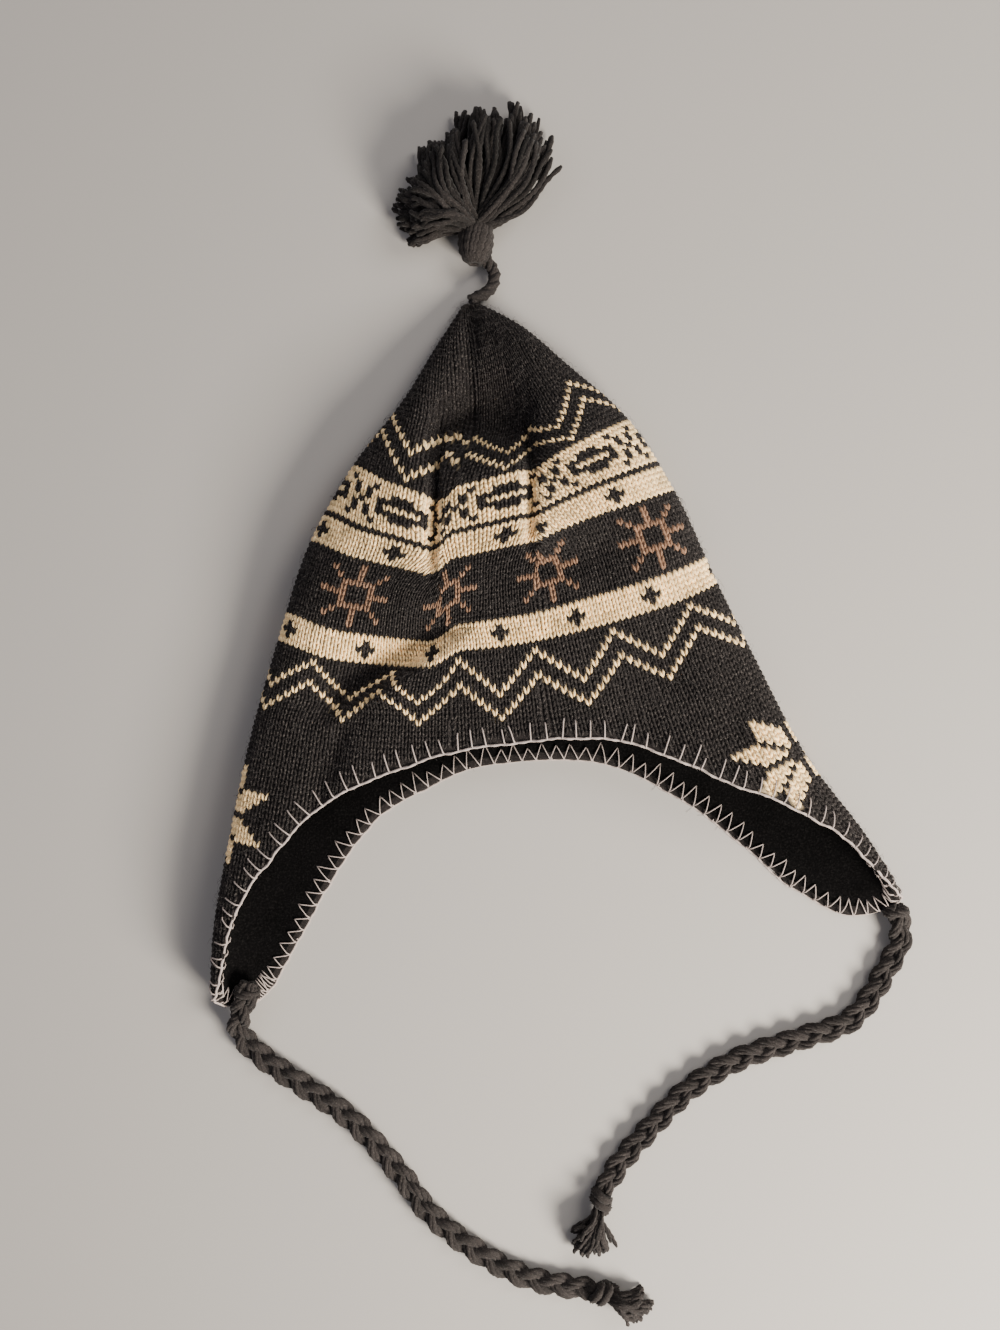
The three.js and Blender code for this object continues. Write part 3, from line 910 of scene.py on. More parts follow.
@dataclass
class KnitShell:
    """The knitted outer hat: a ground that closes it, and every stitch as two plump legs on it.

    Attributes:
        form: The hat's form.
        chart: The pattern.
        row_height: Height of a row in millimetres.
        eye_course: Course of the row that the rows are counted from.
        eye_row: That row's number.
        first_row: First row at the tip.
        last_row: Last row on the flaps.
        first_wale: First wale round the hat.
        last_wale: Last wale.
        courses: Lowest and highest course that can be measured.
        per_degree: Angles measured in a degree.
        seam_gap: Half the room at a gore seam between its two sides.
        rim_gap: Room between the last stitch and the rim.
        split_course: Course that parts the upper stitches from the lower ones.
        wall: Thickness of the knit.
        ground_depth: How far the ground lies under the outer face.
        ground_shade_limit: Brightest colour of the ground between stitches, a painted shade that holds
            the cream down in the gaps and creases.
        ground_columns: Columns of the ground round the hat.
        ground_rows: Rows of its outer and of its inner face.
        ground_tops: Share of the rim's course at which each face starts.
        lip: How far the rolled rim stands out.
        inner_shade: Brightness of the inner face, the charcoal darkened as painted shade.
        leg_height: Height of a leg.
        leg_lift: How far a leg's middle rises over its ends.
        leg_sink: How far its ends sink.
        leg_foot: Wales from the middle to a leg's bottom.
        leg_splay: How much further out its top lies.
        leg_bow: How far it bows out.
        leg_width: Half its width in wales.
        leg_half: Half its length in rows.
        leg_end: Share of a leg at which its swelling starts.
        leg_power: Power of that swelling.
        leg_rows: Points along a leg.
        leg_columns: Points across it.
        wobble: Spread of the legs' places in wales.
        puff: Spread of their heights.
        mottle: Spread of their brightness.
        seed: Seed of the legs' differences.
        half_rows: Every half row that is measured.
        angles: The angles measured in each, in degrees.
        length: Length round the hat up to each angle.
        wale: Wale at each angle.
        knot_length: Length up to each wale of the table.
        knot_wale: The table's wales, from the back seam round by the right.
        places: The stitches' layout.
    """

    form: HatForm
    chart: KnitChart = field(default_factory=KnitChart)
    row_height: float = 3.0
    eye_course: float = 120.0
    eye_row: int = 4
    first_row: int = -35
    last_row: int = 98
    first_wale: int = -50
    last_wale: int = 95
    courses: tuple[float, float] = (0.5, 409)
    per_degree: int = 3
    seam_gap: float = 0.02
    rim_gap: float = 1.6
    split_course: float = 168.0
    wall: float = 2.6
    ground_depth: float = 0.7
    # Painted shade: the ground's cream between stitches and in creases is held under this colour.
    ground_shade_limit: tuple[float, float, float] = (0.33, 0.26, 0.16)
    ground_columns: int = 320
    ground_rows: tuple[int, int] = (128, 48)
    ground_tops: tuple[float, float] = (0.004, 0.053)
    lip: float = 0.9
    inner_shade: float = 0.8
    leg_height: float = 1.25
    leg_lift: float = 1.1
    leg_sink: float = 1.5
    leg_foot: float = 0.09
    leg_splay: float = 0.27
    leg_bow: float = 0.04
    leg_width: float = 0.20
    leg_half: float = 0.78
    leg_end: float = 0.06
    leg_power: float = 0.6
    leg_rows: int = 5
    leg_columns: int = 4
    wobble: float = 0.03
    puff: float = 0.08
    mottle: float = 0.13
    seed: int = 7
    half_rows: np.ndarray = field(init=False)
    angles: np.ndarray = field(init=False)
    length: np.ndarray = field(init=False)
    wale: np.ndarray = field(init=False)
    knot_length: np.ndarray = field(init=False)
    knot_wale: np.ndarray = field(init=False)
    places: dict[str, np.ndarray] = field(init=False)

    def course(self, row: np.ndarray) -> np.ndarray:
        """Course of a row's middle."""
        return self.eye_course + (np.asarray(row, float) - self.eye_row) * self.row_height

    def __post_init__(self) -> None:
        """Measures every half row round the hat, spreads the wales by length and lays out stitches."""
        self.half_rows = np.arange(2 * self.first_row - 2, 2 * self.last_row + 3) / 2
        self.angles = np.linspace(-90, 270, 360 * self.per_degree + 1)
        courses = np.clip(self.course(self.half_rows), *self.courses)
        length = running_length(self.form.point(self.angles[None, :], courses[:, None])) / MM
        seams = read_table(GORE_SEAMS, courses)
        front = np.full(len(courses), SIDE_SHARE)
        share = np.stack([front, seams[:, 1], seams[:, 0], -front], -1)
        turn = np.degrees(np.arccos(np.sign(share) * np.abs(share) ** (1 / self.form.power)))
        fixed = np.broadcast_to(np.array([-90.0, 0.0, 180.0, 270.0]), (len(courses), 4))
        knots = np.column_stack([fixed[:, :2], turn[:, [0, 1, 1, 2, 2, 3]], fixed[:, 2:]])
        wales = read_table(WALES, courses)[:, ::-1]
        knot_length = [np.interp(knot, self.angles, run) for knot, run in zip(knots, length)]
        gap = self.seam_gap
        self.knot_length = np.stack(knot_length) + np.array([0, 0, 0, -gap, gap, -gap, gap, 0, 0, 0])
        self.knot_wale = wales
        self.length = length
        spread = zip(length, self.knot_length, wales)
        self.wale = np.stack([np.interp(run, at, wale) for run, at, wale in spread])
        self.places = self.stitch_places()

    def angle_of(self, half_index: np.ndarray, wale: np.ndarray) -> np.ndarray:
        """Finds the angle of each wale in measured half rows, by reading the wales backwards.

        Args:
            half_index: Number of each half row.
            wale: Wales wanted in each of them.

        Returns:
            Angles in degrees, of the wales' own shape.
        """
        found = []
        for index, wanted in zip(half_index, wale):
            run = np.interp(-wanted, -self.knot_wale[index], self.knot_length[index])
            found.append(np.interp(run, self.length[index], self.angles))
        return np.stack(found)

    def ground(self) -> bpy.types.Object:
        """Builds the ground: the outer face, rolled round the rim and back up inside to the tip.

        Returns:
            The ground, tinted by the pattern under its stitches, with its cream darkened as painted
            shade.
        """
        angle = np.linspace(0, 360, self.ground_columns, endpoint=False)[None, :]
        rim = self.form.rim(angle)
        outer = np.linspace(self.ground_tops[0], 1.0, self.ground_rows[0])[:, None]
        inner = np.linspace(1.0, self.ground_tops[1], self.ground_rows[1])[:, None]
        edge = self.form.inset(angle, rim, self.wall / 2)
        _, down = self.form.slopes(angle, rim)
        lip = edge + self.lip * MM * unit(down)
        rows = [
            self.form.inset(angle, rim * outer, self.ground_depth),
            lip,
            self.form.inset(angle, rim * inner, self.wall),
        ]
        points = np.concatenate(rows)[None]
        course = np.concatenate([rim * outer, rim, rim * inner])
        row = np.rint((course - self.eye_course) / self.row_height + self.eye_row).astype(int)
        index = np.rint((row - self.half_rows[0]) * 2).astype(int)
        index = np.clip(index, 0, len(self.half_rows) - 1)
        column = np.rint(((angle + 90) % 360) * self.per_degree).astype(int)
        wale = np.rint(self.wale[index, np.broadcast_to(column, index.shape)]).astype(int)
        # Painted shade: the cream showing between stitches and in creases is held down to a darker tan.
        tint = np.minimum(self.chart.colour(row, wale), self.ground_shade_limit)
        # Painted shade: the inner face and the rolled rim get the charcoal darkened.
        tint[-len(inner) - 1:] = np.array(Wool.CHARCOAL.value) * self.inner_shade
        return Skin(points, closed=True, capped=True, tint=tint[None]).build("knit_ground")

    def stitch_places(self) -> dict[str, np.ndarray]:
        """Lays out the stitches.

        Returns:
            Row, wale, middle, width step, length step, outward direction, angle and course of each.
        """
        rows = np.arange(self.first_row, self.last_row + 1)
        middle = 2 * (rows - self.first_row) + 2
        across = np.arange(self.first_wale, self.last_wale + 1)
        wales = np.broadcast_to(across, (len(rows), len(across))).astype(float)
        angle = self.angle_of(middle, wales)
        course = np.broadcast_to(self.course(rows)[:, None], angle.shape)
        knots = self.knot_wale[middle]
        keep = (wales < knots[:, :1]) & (wales > knots[:, -1:])
        for high, low in ((3, 4), (5, 6)):
            keep &= ~((wales < knots[:, high:high + 1]) & (wales > knots[:, low:low + 1]))
        keep &= course < self.form.rim(angle) - self.rim_gap
        before = self.angle_of(middle, wales + 0.5)
        after = self.angle_of(middle, wales - 0.5)
        above = self.angle_of(middle - 1, wales)
        below = self.angle_of(middle + 1, wales)
        half = self.row_height / 2
        width = self.form.point(after, course) - self.form.point(before, course)
        length = self.form.point(below, course + half) - self.form.point(above, course - half)
        return {
            "row": np.broadcast_to(rows[:, None], angle.shape)[keep],
            "wale": wales[keep].astype(int),
            "middle": self.form.point(angle, course)[keep],
            "width": width[keep],
            "length": length[keep],
            "out": self.form.normal(angle, course)[keep],
            "angle": angle[keep],
            "course": course[keep],
        }

    def legs(self, places: dict[str, np.ndarray]) -> Skin:
        """Makes both legs of every stitch.

        A leg runs from the top, a third of a wale out, to the bottom near the wale's middle, one and a
        half rows long. Its outline is half an ellipse whose width and height swell as a sine and dip at
        the ends.

        Args:
            places: The stitches' layout.

        Returns:
            The legs' skin with its colours.
        """
        rng = np.random.default_rng(self.seed)
        count = len(places["row"])
        t = np.linspace(0, 1, self.leg_rows)[None, :, None, None]
        q = np.linspace(-1, 1, self.leg_columns)[None, None, :, None] * math.pi / 2
        swell = np.sin(math.pi * np.clip(t, self.leg_end, 1 - self.leg_end)) ** self.leg_power
        sides = []
        for side in (-1.0, 1.0):
            wobble = rng.normal(0, self.wobble, (count, 1, 1, 1))
            puff = rng.normal(1, self.puff, (count, 1, 1, 1))
            lean = self.leg_foot + self.leg_splay * (1 - t) + self.leg_bow * np.sin(math.pi * t)
            across = side * lean + wobble
            across = across + self.leg_width * swell * np.sin(q)
            along = -self.leg_half + 2 * self.leg_half * t
            rise = self.leg_height * MM * puff * swell * np.cos(q)
            rise = rise + MM * (self.leg_lift * swell - self.leg_sink)
            middle, wide, long, out = (places[key][:, None, None, :] for key in STITCH_FRAME)
            sides.append(middle + wide * across + long * along + out * rise)
        colour = self.chart.colour(places["row"], places["wale"])
        colour = colour * rng.normal(1.0, self.mottle, (count, 1)).clip(0.6, 1.4)
        points = np.concatenate(sides)
        tint = np.broadcast_to(np.concatenate([colour, colour])[:, None, None, :], points.shape)
        return Skin(points, tint=tint)

    def build(self) -> list[bpy.types.Object]:
        """Builds the ground and the stitches, split in four so that no piece is too heavy.

        Returns:
            The ground first, then the stitches.
        """
        ground = self.ground()
        dress(ground, KNIT_GROUND, "knit", "knit_shell")
        places = self.places
        front = np.sin(np.radians(places["angle"])) > 0
        upper = places["course"] < self.split_course
        pieces = [ground]
        for name, chosen in (
            ("crown_stitches", front & upper),
            ("front_stitches", front & ~upper),
            ("back_upper_stitches", ~front & upper),
            ("back_stitches", ~front & ~upper),
        ):
            part = {key: values[chosen] for key, values in places.items()}
            piece = self.legs(part).build(name)
            dress(piece, KNIT_WOOL, "knit")
            pieces.append(piece)
        return pieces


@dataclass
class WoolFuzz:
    """Single fibres that stand off the knit.

    Attributes:
        fibres: Number of fibres.
        radius: Radius of a fibre in millimetres.
        reach: Least and greatest reach along the knit.
        lift: Least and greatest height.
        curl: Spread of the drift to one side.
        stand: Height at which a fibre leaves its stitch.
        arch: Share of a half sine that a fibre follows.
        floor: Lowest height over the floor.
        lighter: How much brighter a fibre is than its stitch.
        pale: Brightness that is added to that.
        darkest: Brightness under which a stitch has fibres.
        seed: Seed of the fibres' differences.
    """

    fibres: int = 7500
    radius: float = 0.05
    reach: tuple[float, float] = (2.0, 6.5)
    lift: tuple[float, float] = (0.6, 2.2)
    curl: float = 1.2
    stand: float = 0.3
    arch: float = 0.8
    floor: float = 0.2
    lighter: float = 1.8
    pale: float = 0.02
    darkest: float = 0.1
    seed: int = 21

    def build(self, shell: KnitShell) -> bpy.types.Object:
        """Builds the fibres: each arches out from a stitch as a half sine and falls to one side.

        Args:
            shell: The knit that carries them.

        Returns:
            The fibres in one piece.
        """
        rng = np.random.default_rng(self.seed)
        places = shell.places
        colour = shell.chart.colour(places["row"], places["wale"])
        chosen = rng.choice(np.flatnonzero(colour[:, 0] < self.darkest), self.fibres)
        middle, wide, long, out = (places[key][chosen] for key in STITCH_FRAME)
        turn = rng.uniform(0, 2 * math.pi, (self.fibres, 1))
        way = unit(wide) * np.cos(turn) + unit(long) * np.sin(turn)
        curl = np.cross(out, way) * rng.normal(0, self.curl, (self.fibres, 1))
        reach = rng.uniform(*self.reach, (self.fibres, 1))
        lift = rng.uniform(*self.lift, (self.fibres, 1))
        t = np.linspace(0, 1, 5)[None, :, None]
        path = middle[:, None] + MM * (
            way[:, None] * reach[:, None] * t + curl[:, None] * t**2
            + out[:, None] * (self.stand + lift[:, None] * np.sin(math.pi * self.arch * t))
        )
        path[..., 2] = np.maximum(path[..., 2], self.floor * MM)
        tint = colour[chosen] * self.lighter + self.pale
        piece = tubes(path, self.radius * MM, 3, tint=tint).build("wool_fuzz")
        dress(piece, KNIT_WOOL, "knit")
        return piece


@dataclass
class FleeceLining:
    """The dark fleece inside the knit.

    Attributes:
        form: The hat's form.
        outer: Depth of the lining's outer face under the knit's, in millimetres.
        wall: Thickness of the fleece.
        rim_share: Share of the knit's rim at which the lining ends.
        top_share: Share of the lining's rim at which it starts.
        lip: How far the rolled edge stands out.
        columns: Columns round the hat.
        rows: Rows of each face.
    """

    form: HatForm
    outer: float = 3.0
    wall: float = 1.6
    rim_share: float = 0.985
    top_share: float = 0.1
    lip: float = 0.6
    columns: int = 240
    rows: int = 40

    def build(self) -> bpy.types.Object:
        """Builds the lining: its face to the knit, a rolled edge, and its face to the head.

        Returns:
            The lining in one piece.
        """
        angle = np.linspace(0, 360, self.columns, endpoint=False)[None, :]
        rim = self.form.rim(angle) * self.rim_share
        up = np.linspace(self.top_share, 1, self.rows)[:, None]
        edge = self.form.inset(angle, rim, self.outer + self.wall / 2)
        _, down = self.form.slopes(angle, rim)
        rows = [
            self.form.inset(angle, rim * up, self.outer),
            edge + self.lip * MM * unit(down),
            self.form.inset(angle, rim * up[::-1], self.outer + self.wall),
        ]
        piece = Skin(np.concatenate(rows)[None], closed=True, capped=True).build("fleece_body")
        dress(piece, FLEECE, "fleece", "fleece_lining")
        return piece


@dataclass
class BlanketStitch:
    """The edging thread: a strand along the rim, legs over the knit and slanting legs on the lining.

    Attributes:
        form: The hat's form.
        pitch: Length of rim for one stitch, in millimetres.
        leg: Reach of a leg on the knit.
        leg_reach: A leg's points in from the rim, as shares of the last.
        leg_depth: The same points' depths under the knit's outer face.
        inner_leg: Reach of a leg on the lining.
        overhang: How far the inner legs start outside the rim.
        inner_depth: Depth of the inner legs.
        strand: Radius of the strand along the rim.
        strand_out: How far the strand stands out from the rim.
        strand_sway: How far it sways between stitches.
        strand_points: Points of the strand for each stitch.
        thread: Radius of a leg on the knit.
        inner_thread: Radius of a leg on the lining.
        close_from: Angle of the first close leg.
        close_to: Angle of the last.
        close_count: Number of close legs.
        scatter: Spread of the stitches' places, as a share of the pitch.
        lean: Middle and spread of the legs' lean, in degrees.
        uneven: Spread of the outer and of the inner legs' reach.
        slack: Spread of the strand's distance from the rim.
        seed: Seed of the stitches' differences.
        angle: Angles at which the rim is measured.
        run: Length of the rim up to each.
        count: Number of stitches.
        shares: Share of the rim at each stitch.
    """

    form: HatForm
    pitch: float = 7.4
    leg: float = 8.6
    leg_reach: tuple[float, ...] = (0.3, -0.7, -0.8, 0.2, 2.5, 5.0, 7.5, 9.0, 9.5)
    leg_depth: tuple[float, ...] = (3.2, 2.2, 0.4, -0.9, -1.1, -1.1, -1.0, -0.6, 1.2)
    inner_leg: float = 8.5
    overhang: float = 0.4
    inner_depth: float = 5.3
    strand: float = 0.62
    strand_out: float = 0.9
    strand_sway: float = 0.5
    strand_points: int = 5
    thread: float = 0.36
    inner_thread: float = 0.3
    close_from: float = 209.0
    close_to: float = 215.5
    close_count: int = 10
    scatter: float = 0.1
    lean: tuple[float, float] = (0.1, 0.5)
    uneven: tuple[float, float] = (0.14, 0.15)
    slack: float = 0.35
    seed: int = 17
    angle: np.ndarray = field(init=False)
    run: np.ndarray = field(init=False)
    count: int = field(init=False)
    shares: np.ndarray = field(init=False)

    def __post_init__(self) -> None:
        """Measures the rim and spaces the stitches evenly along it."""
        self.angle = np.linspace(-45, 315, 2881)
        self.run = running_length(self.form.point(self.angle, self.form.rim(self.angle))) / MM
        self.count = int(round(self.run[-1] / self.pitch))
        self.shares = np.arange(self.count) / self.count

    def spread(self, share: np.ndarray) -> np.ndarray:
        """Angle at a share of the rim's length."""
        return np.interp(share * self.run[-1], self.run, self.angle)

    def inward(self, angle: np.ndarray) -> tuple[np.ndarray, np.ndarray]:
        """Works out the change of angle and course for one millimetre square to the rim, along the knit.

        The rim's direction is crossed with the outward direction, and the result is solved in the two
        slopes.

        Args:
            angle: Degrees round the section.

        Returns:
            Degrees and millimetres of course.
        """
        step = 0.5
        course = self.form.rim(angle)
        around, down = self.form.slopes(angle, course)
        ahead = self.form.point(angle + step, self.form.rim(angle + step))
        behind = self.form.point(angle - step, self.form.rim(angle - step))
        way = np.cross(unit(np.cross(around, down)), unit(ahead - behind))
        way = unit(np.where((way * down).sum(-1, keepdims=True) > 0, -way, way)) * MM
        aa = (around * around).sum(-1)
        dd = (down * down).sum(-1)
        ad = (around * down).sum(-1)
        wa = (way * around).sum(-1)
        wd = (way * down).sum(-1)
        area = aa * dd - ad * ad
        return (wa * dd - wd * ad) / area, (wd * aa - wa * ad) / area

    def on_knit(self, angle: np.ndarray, reach: np.ndarray, depth: np.ndarray) -> np.ndarray:
        """Places points a reach in from the rim, a depth under the knit's outer face.

        Args:
            angle: Degrees round the section.
            reach: Millimetres in from the rim.
            depth: Millimetres under the outer face.

        Returns:
            Points in metres.
        """
        turn, fall = self.inward(angle)
        course = self.form.rim(angle)
        place = (angle + turn * reach, course + fall * reach)
        return self.form.point(*place) - (depth * MM)[..., None] * self.form.normal(*place)

    def build(self) -> list[bpy.types.Object]:
        """Builds the edging, each stitch a little different.

        Returns:
            The outer legs, the strand and the inner legs.
        """
        rng = np.random.default_rng(self.seed)
        moved = rng.normal(0, self.scatter, self.count) / self.count
        angle = self.spread((self.shares + moved) % 1.0)
        reach = np.array(self.leg_reach) * self.leg / self.leg_reach[-1]
        depth = np.array(self.leg_depth)
        lean = rng.normal(*self.lean, (self.count, 1))
        grid = angle[:, None] + lean * np.linspace(0, 1, len(reach))
        size = rng.normal(1.0, self.uneven[0], (self.count, 1)).clip(0.65, 1.3)
        paths = self.on_knit(grid, reach * size, np.broadcast_to(depth, grid.shape))
        outer = tubes(paths, self.thread * MM, 6).build("edging_legs")
        dress(outer, THREAD, "knit")
        points = self.count * self.strand_points
        fine = self.spread(np.linspace(0, 1, points))
        sway = self.strand_sway * np.cos(2 * math.pi * np.linspace(0, self.count, points))
        slack = rng.normal(0, self.slack, self.count)
        drift = np.interp(np.linspace(0, self.count - 1, points), np.arange(self.count), slack)
        path = self.on_knit(fine, -self.strand_out + 0.3 * sway + drift, 0.6 + sway)
        skin = tubes(path[None], self.strand * MM, 8, EDGING_PLY)
        strand = skin.build("edging_strand")
        dress(strand, THREAD, "knit")
        inner = self.zigzag(rng).build("edging_zigzag")
        dress(inner, THREAD, "fleece")
        return [outer, strand, inner]

    def zigzag(self, rng: np.random.Generator) -> Skin:
        """Makes the legs on the lining: slanting ones between stitches, and close ones by the left tie.

        A leg comes over the rim where it starts and sinks into the fleece where it ends.

        Args:
            rng: Source of the stitches' differences.

        Returns:
            The legs' skin.
        """
        t = np.linspace(0, 1, 6)
        peak = rng.normal(0.5, self.scatter, (self.count, 1)).clip(0.25, 0.75)
        size = rng.normal(1.0, self.uneven[1], (self.count, 1)).clip(0.6, 1.3)
        ahead = peak * t
        back = peak + (1 - peak) * t
        share = self.shares[:, None] + np.stack([ahead, back]) / self.count
        rise = np.stack([size * t, size * (1 - t)])
        close = np.linspace(self.close_from, self.close_to, self.close_count)[:, None] + 0.4 * t
        angle = np.vstack([self.spread(share.reshape(-1, len(t)) % 1.0), close])
        rise = np.vstack([rise.reshape(-1, len(t)), np.broadcast_to(1.1 * t, close.shape)])
        into_fleece = 0.9 * smoothstep(0.8, 1.0, rise)
        over_rim = 2.2 * smoothstep(0.15, 0.0, rise)
        depth = self.inner_depth - into_fleece - over_rim
        reach = -self.overhang + rise * (self.inner_leg + self.overhang)
        paths = self.on_knit(angle, reach, depth)
        return tubes(paths, self.inner_thread * MM, 5)


@dataclass
class PlaitedTie:
    """One tie: three strands of yarn plaited together, from the flap to the knot.

    Attributes:
        side: Which flap it leaves.
        route: The tie's route in millimetres.
        cycle: Length in which one strand crosses and comes back.
        swing: How far a strand swings to either side.
        lift: How far a strand rises and dips where it crosses.
        yarns: Yarns in a strand.
        yarn: Radius of a yarn.
        bundle: Radius at which the yarns lie round their strand.
        diameter: Width of the whole plait; not used.
        wind: Length in which the yarns wind once round their strand.
        points: Points along the plait.
        flat: Height of a strand's bundle as a share of its width.
        end_gather: How much narrower the plait is by the knot.
        flap_gather: How much narrower it is by the flap.
        settle: How far the plait lies lower than a round cord on the floor.
        settle_from: Height of the route under which it starts to settle.
        settle_over: Fall of the route in which it settles fully.
        line: The plait's middle in metres.
        length: Its length.
    """

    side: Side
    route: np.ndarray
    cycle: float = 38.0
    swing: float = 3.6
    lift: float = 1.5
    yarns: int = 5
    yarn: float = 1.25
    bundle: float = 1.65
    diameter: float = 12.4
    wind: float = 26.0
    points: int = 220
    flat: float = 0.85
    end_gather: float = 0.4
    flap_gather: float = 0.25
    settle: float = 1.35
    settle_from: float = 9.0
    settle_over: float = 3.3
    line: np.ndarray = field(init=False)
    length: float = field(init=False)

    def __post_init__(self) -> None:
        """Lays out the middle: the route, let down on the floor because a plait is flat."""
        line = smooth_route(self.route, self.points)
        line[:, 2] -= self.settle * np.clip((self.settle_from - line[:, 2]) / self.settle_over, 0, 1)
        self.line = lay_to_part(line)
        self.length = float(running_length(self.line)[-1])

    def build(self) -> bpy.types.Object:
        """Builds the plait.

        A strand's offset is swing times the sine of its turn to the side and lift times the sine of twice
        the turn upwards, and the three strands are a third of a turn apart. Yarns wind round each strand,
        and all gather towards both ends.

        Returns:
            The plait in one piece.
        """
        line = self.line
        run = running_length(line) / MM
        _, side, up = path_frames(line)
        strand = np.arange(3)[:, None, None] / 3
        turn = 2 * math.pi * (run / self.cycle + strand)
        yarn = 2 * math.pi * np.arange(self.yarns)[None, :, None] / self.yarns
        wind = yarn + 2 * math.pi * run / self.wind
        gather = 1 - self.end_gather * smoothstep(run[-1] - 10, run[-1] - 2, run)
        gather = gather - self.flap_gather * smoothstep(12, 0, run)
        across = gather * (self.swing * np.sin(turn) + self.bundle * np.cos(wind))
        rise = gather * (self.lift * np.sin(2 * turn) + self.bundle * self.flat * np.sin(wind))
        paths = line + MM * (across[..., None] * side + rise[..., None] * up)
        paths = paths.reshape(-1, len(line), 3)
        rng = np.random.default_rng(11 if self.side is Side.LEFT else 12)
        tint = np.array(Wool.YARN.value) * rng.normal(1, 0.16, (len(paths), 1)).clip(0.6, 1.5)
        skin = tubes(paths, self.yarn * MM, 6, PLAIT_PLY, tint)
        piece = skin.build(f"{self.side.value}_plait")
        dress(piece, YARN, "yarn", f"{self.side.value}_tie")
        return piece


@dataclass
class YarnTuft:
    """Loose yarn bound at a knot or head, spreading over the floor.

    Attributes:
        name: The tuft's name.
        node: The part's piece that it stands for.
        x: Middle of the knot across, in millimetres.
        y: Middle of the knot along.
        z: Height of the knot's middle.
        heading: Direction in which the yarn points, in degrees.
        head: Half length of the knot.
        girth: Radius of the knot.
        neck: Distance from the knot's middle to where the yarn spreads.
        locks: Turn from the heading and reach of the yarn there.
        strands: Number of strands.
        yarn: Radius of a strand.
        thick: Height of the heap of yarn.
        wraps: Turns of yarn round the knot.
        ribs: Strands that run over the head.
        flare: Turn at which the outermost strands leave the neck, in degrees.
        clump: Turn between the clumps in which the strands end, in degrees.
        wave: How far a strand sways to either side.
        shade: Brightness of the strands.
        seed: Seed of the strands' differences.
        points: Points along a strand.
        scatter: Spread of the strands' turns, in degrees.
        bend_range: Turn at which a strand's bend nears its greatest, in degrees.
        stagger: Clumps by which the top layer is shifted.
        draw: How far a strand is drawn to its clump's middle.
        top_short: How much shorter the top layer's strands are.
        uneven: Spread of the reach of clumps and of single strands.
        bend_share: Share of the reach at which the bend lies.
        root_width: Radius of the strands' roots, as a share of the knot's.
        rib_size: Radius of a strand over the head, as a share of the yarn's.
        wrap_size: Radius of the binding yarn, as a share of the yarn's.
        tip_size: Radius at a strand's end, as a share of its own.
    """

    name: str
    node: str
    x: float
    y: float
    z: float
    heading: float
    head: float
    girth: float
    neck: float
    locks: np.ndarray
    strands: int
    yarn: float
    thick: float
    wraps: int = 0
    ribs: int = 0
    flare: float = 22.0
    clump: float = 9.0
    wave: float = 1.2
    shade: float = 1.0
    seed: int = 3
    points: int = 30
    scatter: float = 4.0
    bend_range: float = 30.0
    stagger: float = 0.9
    draw: float = 0.6
    top_short: float = 0.26
    uneven: tuple[float, float] = (0.06, 0.04)
    bend_share: float = 0.45
    root_width: float = 0.55
    rib_size: float = 1.25
    wrap_size: float = 2.2
    tip_size: float = 0.75

    def aim(self, turn: np.ndarray) -> np.ndarray:
        """Level direction at a turn from the heading."""
        angle = np.radians(self.heading + np.asarray(turn, float))
        return np.stack([np.cos(angle), np.sin(angle), np.zeros_like(angle)], -1)

    def skirt(self, rng: np.random.Generator) -> np.ndarray:
        """Paths of the loose strands.

        A strand is a quadratic curve from the neck by a bend to its tip. The bend's turn is flare times
        the hyperbolic tangent of the tip's turn over the bend's range. Strands end in clumps, and a
        strand's height goes from the neck's to its own layer's, with a wave of its own.

        Args:
            rng: Source of the strands' differences.

        Returns:
            Strand, point and coordinate in millimetres.
        """
        steps = np.linspace(0, 1, self.points)
        order = rng.permutation(self.strands)
        turn = np.linspace(self.locks[0, 0], self.locks[-1, 0], self.strands)
        turn = turn + rng.normal(0, self.scatter, self.strands)
        layer = (order + 0.5) / self.strands
        group = np.rint(turn / self.clump + self.stagger * layer).astype(int)
        group = group - group.min()
        drift = rng.normal(0, 0.3 * self.clump, group.max() + 1)[group]
        turn = turn + drift + self.draw * (np.rint(turn / self.clump) * self.clump - turn)
        reach = np.interp(turn, self.locks[:, 0], self.locks[:, 1])
        reach = reach * (1.0 - self.top_short * layer**2)
        reach = reach * rng.normal(1, self.uneven[0], group.max() + 1)[group]
        reach = reach * rng.normal(1, self.uneven[1], self.strands).clip(0.88, 1.08)
        origin = np.array([self.x, self.y, self.z])
        root = origin + self.aim(np.zeros(1)) * self.neck * 0.5
        around = 2 * math.pi * rng.random(self.strands)
        spread = self.girth * self.root_width * np.sqrt(rng.random(self.strands))
        across = self.aim(np.full(self.strands, 90.0))
        start = root + across * (spread * np.cos(around))[:, None]
        start[:, 2] += spread * np.sin(around) * 0.8
        leave = self.flare * np.tanh(turn / self.bend_range) + rng.normal(0, self.clump, self.strands)
        bend = root + self.aim(leave) * (reach * self.bend_share)[:, None]
        tip = root + self.aim(turn) * reach[:, None]
        t = steps[None, :, None]
        path = start[:, None] * (1 - t) ** 2 + bend[:, None] * (2 * t * (1 - t))
        path = path + tip[:, None] * t**2
        floor = self.yarn * 1.1
        height = floor + layer * self.thick
        lift = np.sin(math.pi * steps)[None] * (2.0 + 4.0 * layer[:, None]) * (self.thick / 20)
        left = (1 - steps) ** 2
        path[..., 2] = start[:, 2:3] * left + height[:, None] * (1 - left) + lift
        phase = rng.random((self.strands, 1)) * 2 * math.pi
        sway = np.sin(phase + steps * rng.uniform(4, 11, (self.strands, 1)))
        sway = sway * steps**0.7 * self.wave
        path[..., :2] += sway[..., None] * self.aim(turn + 90)[:, None, :2]
        path[..., 2] = np.maximum(path[..., 2], floor)
        return path

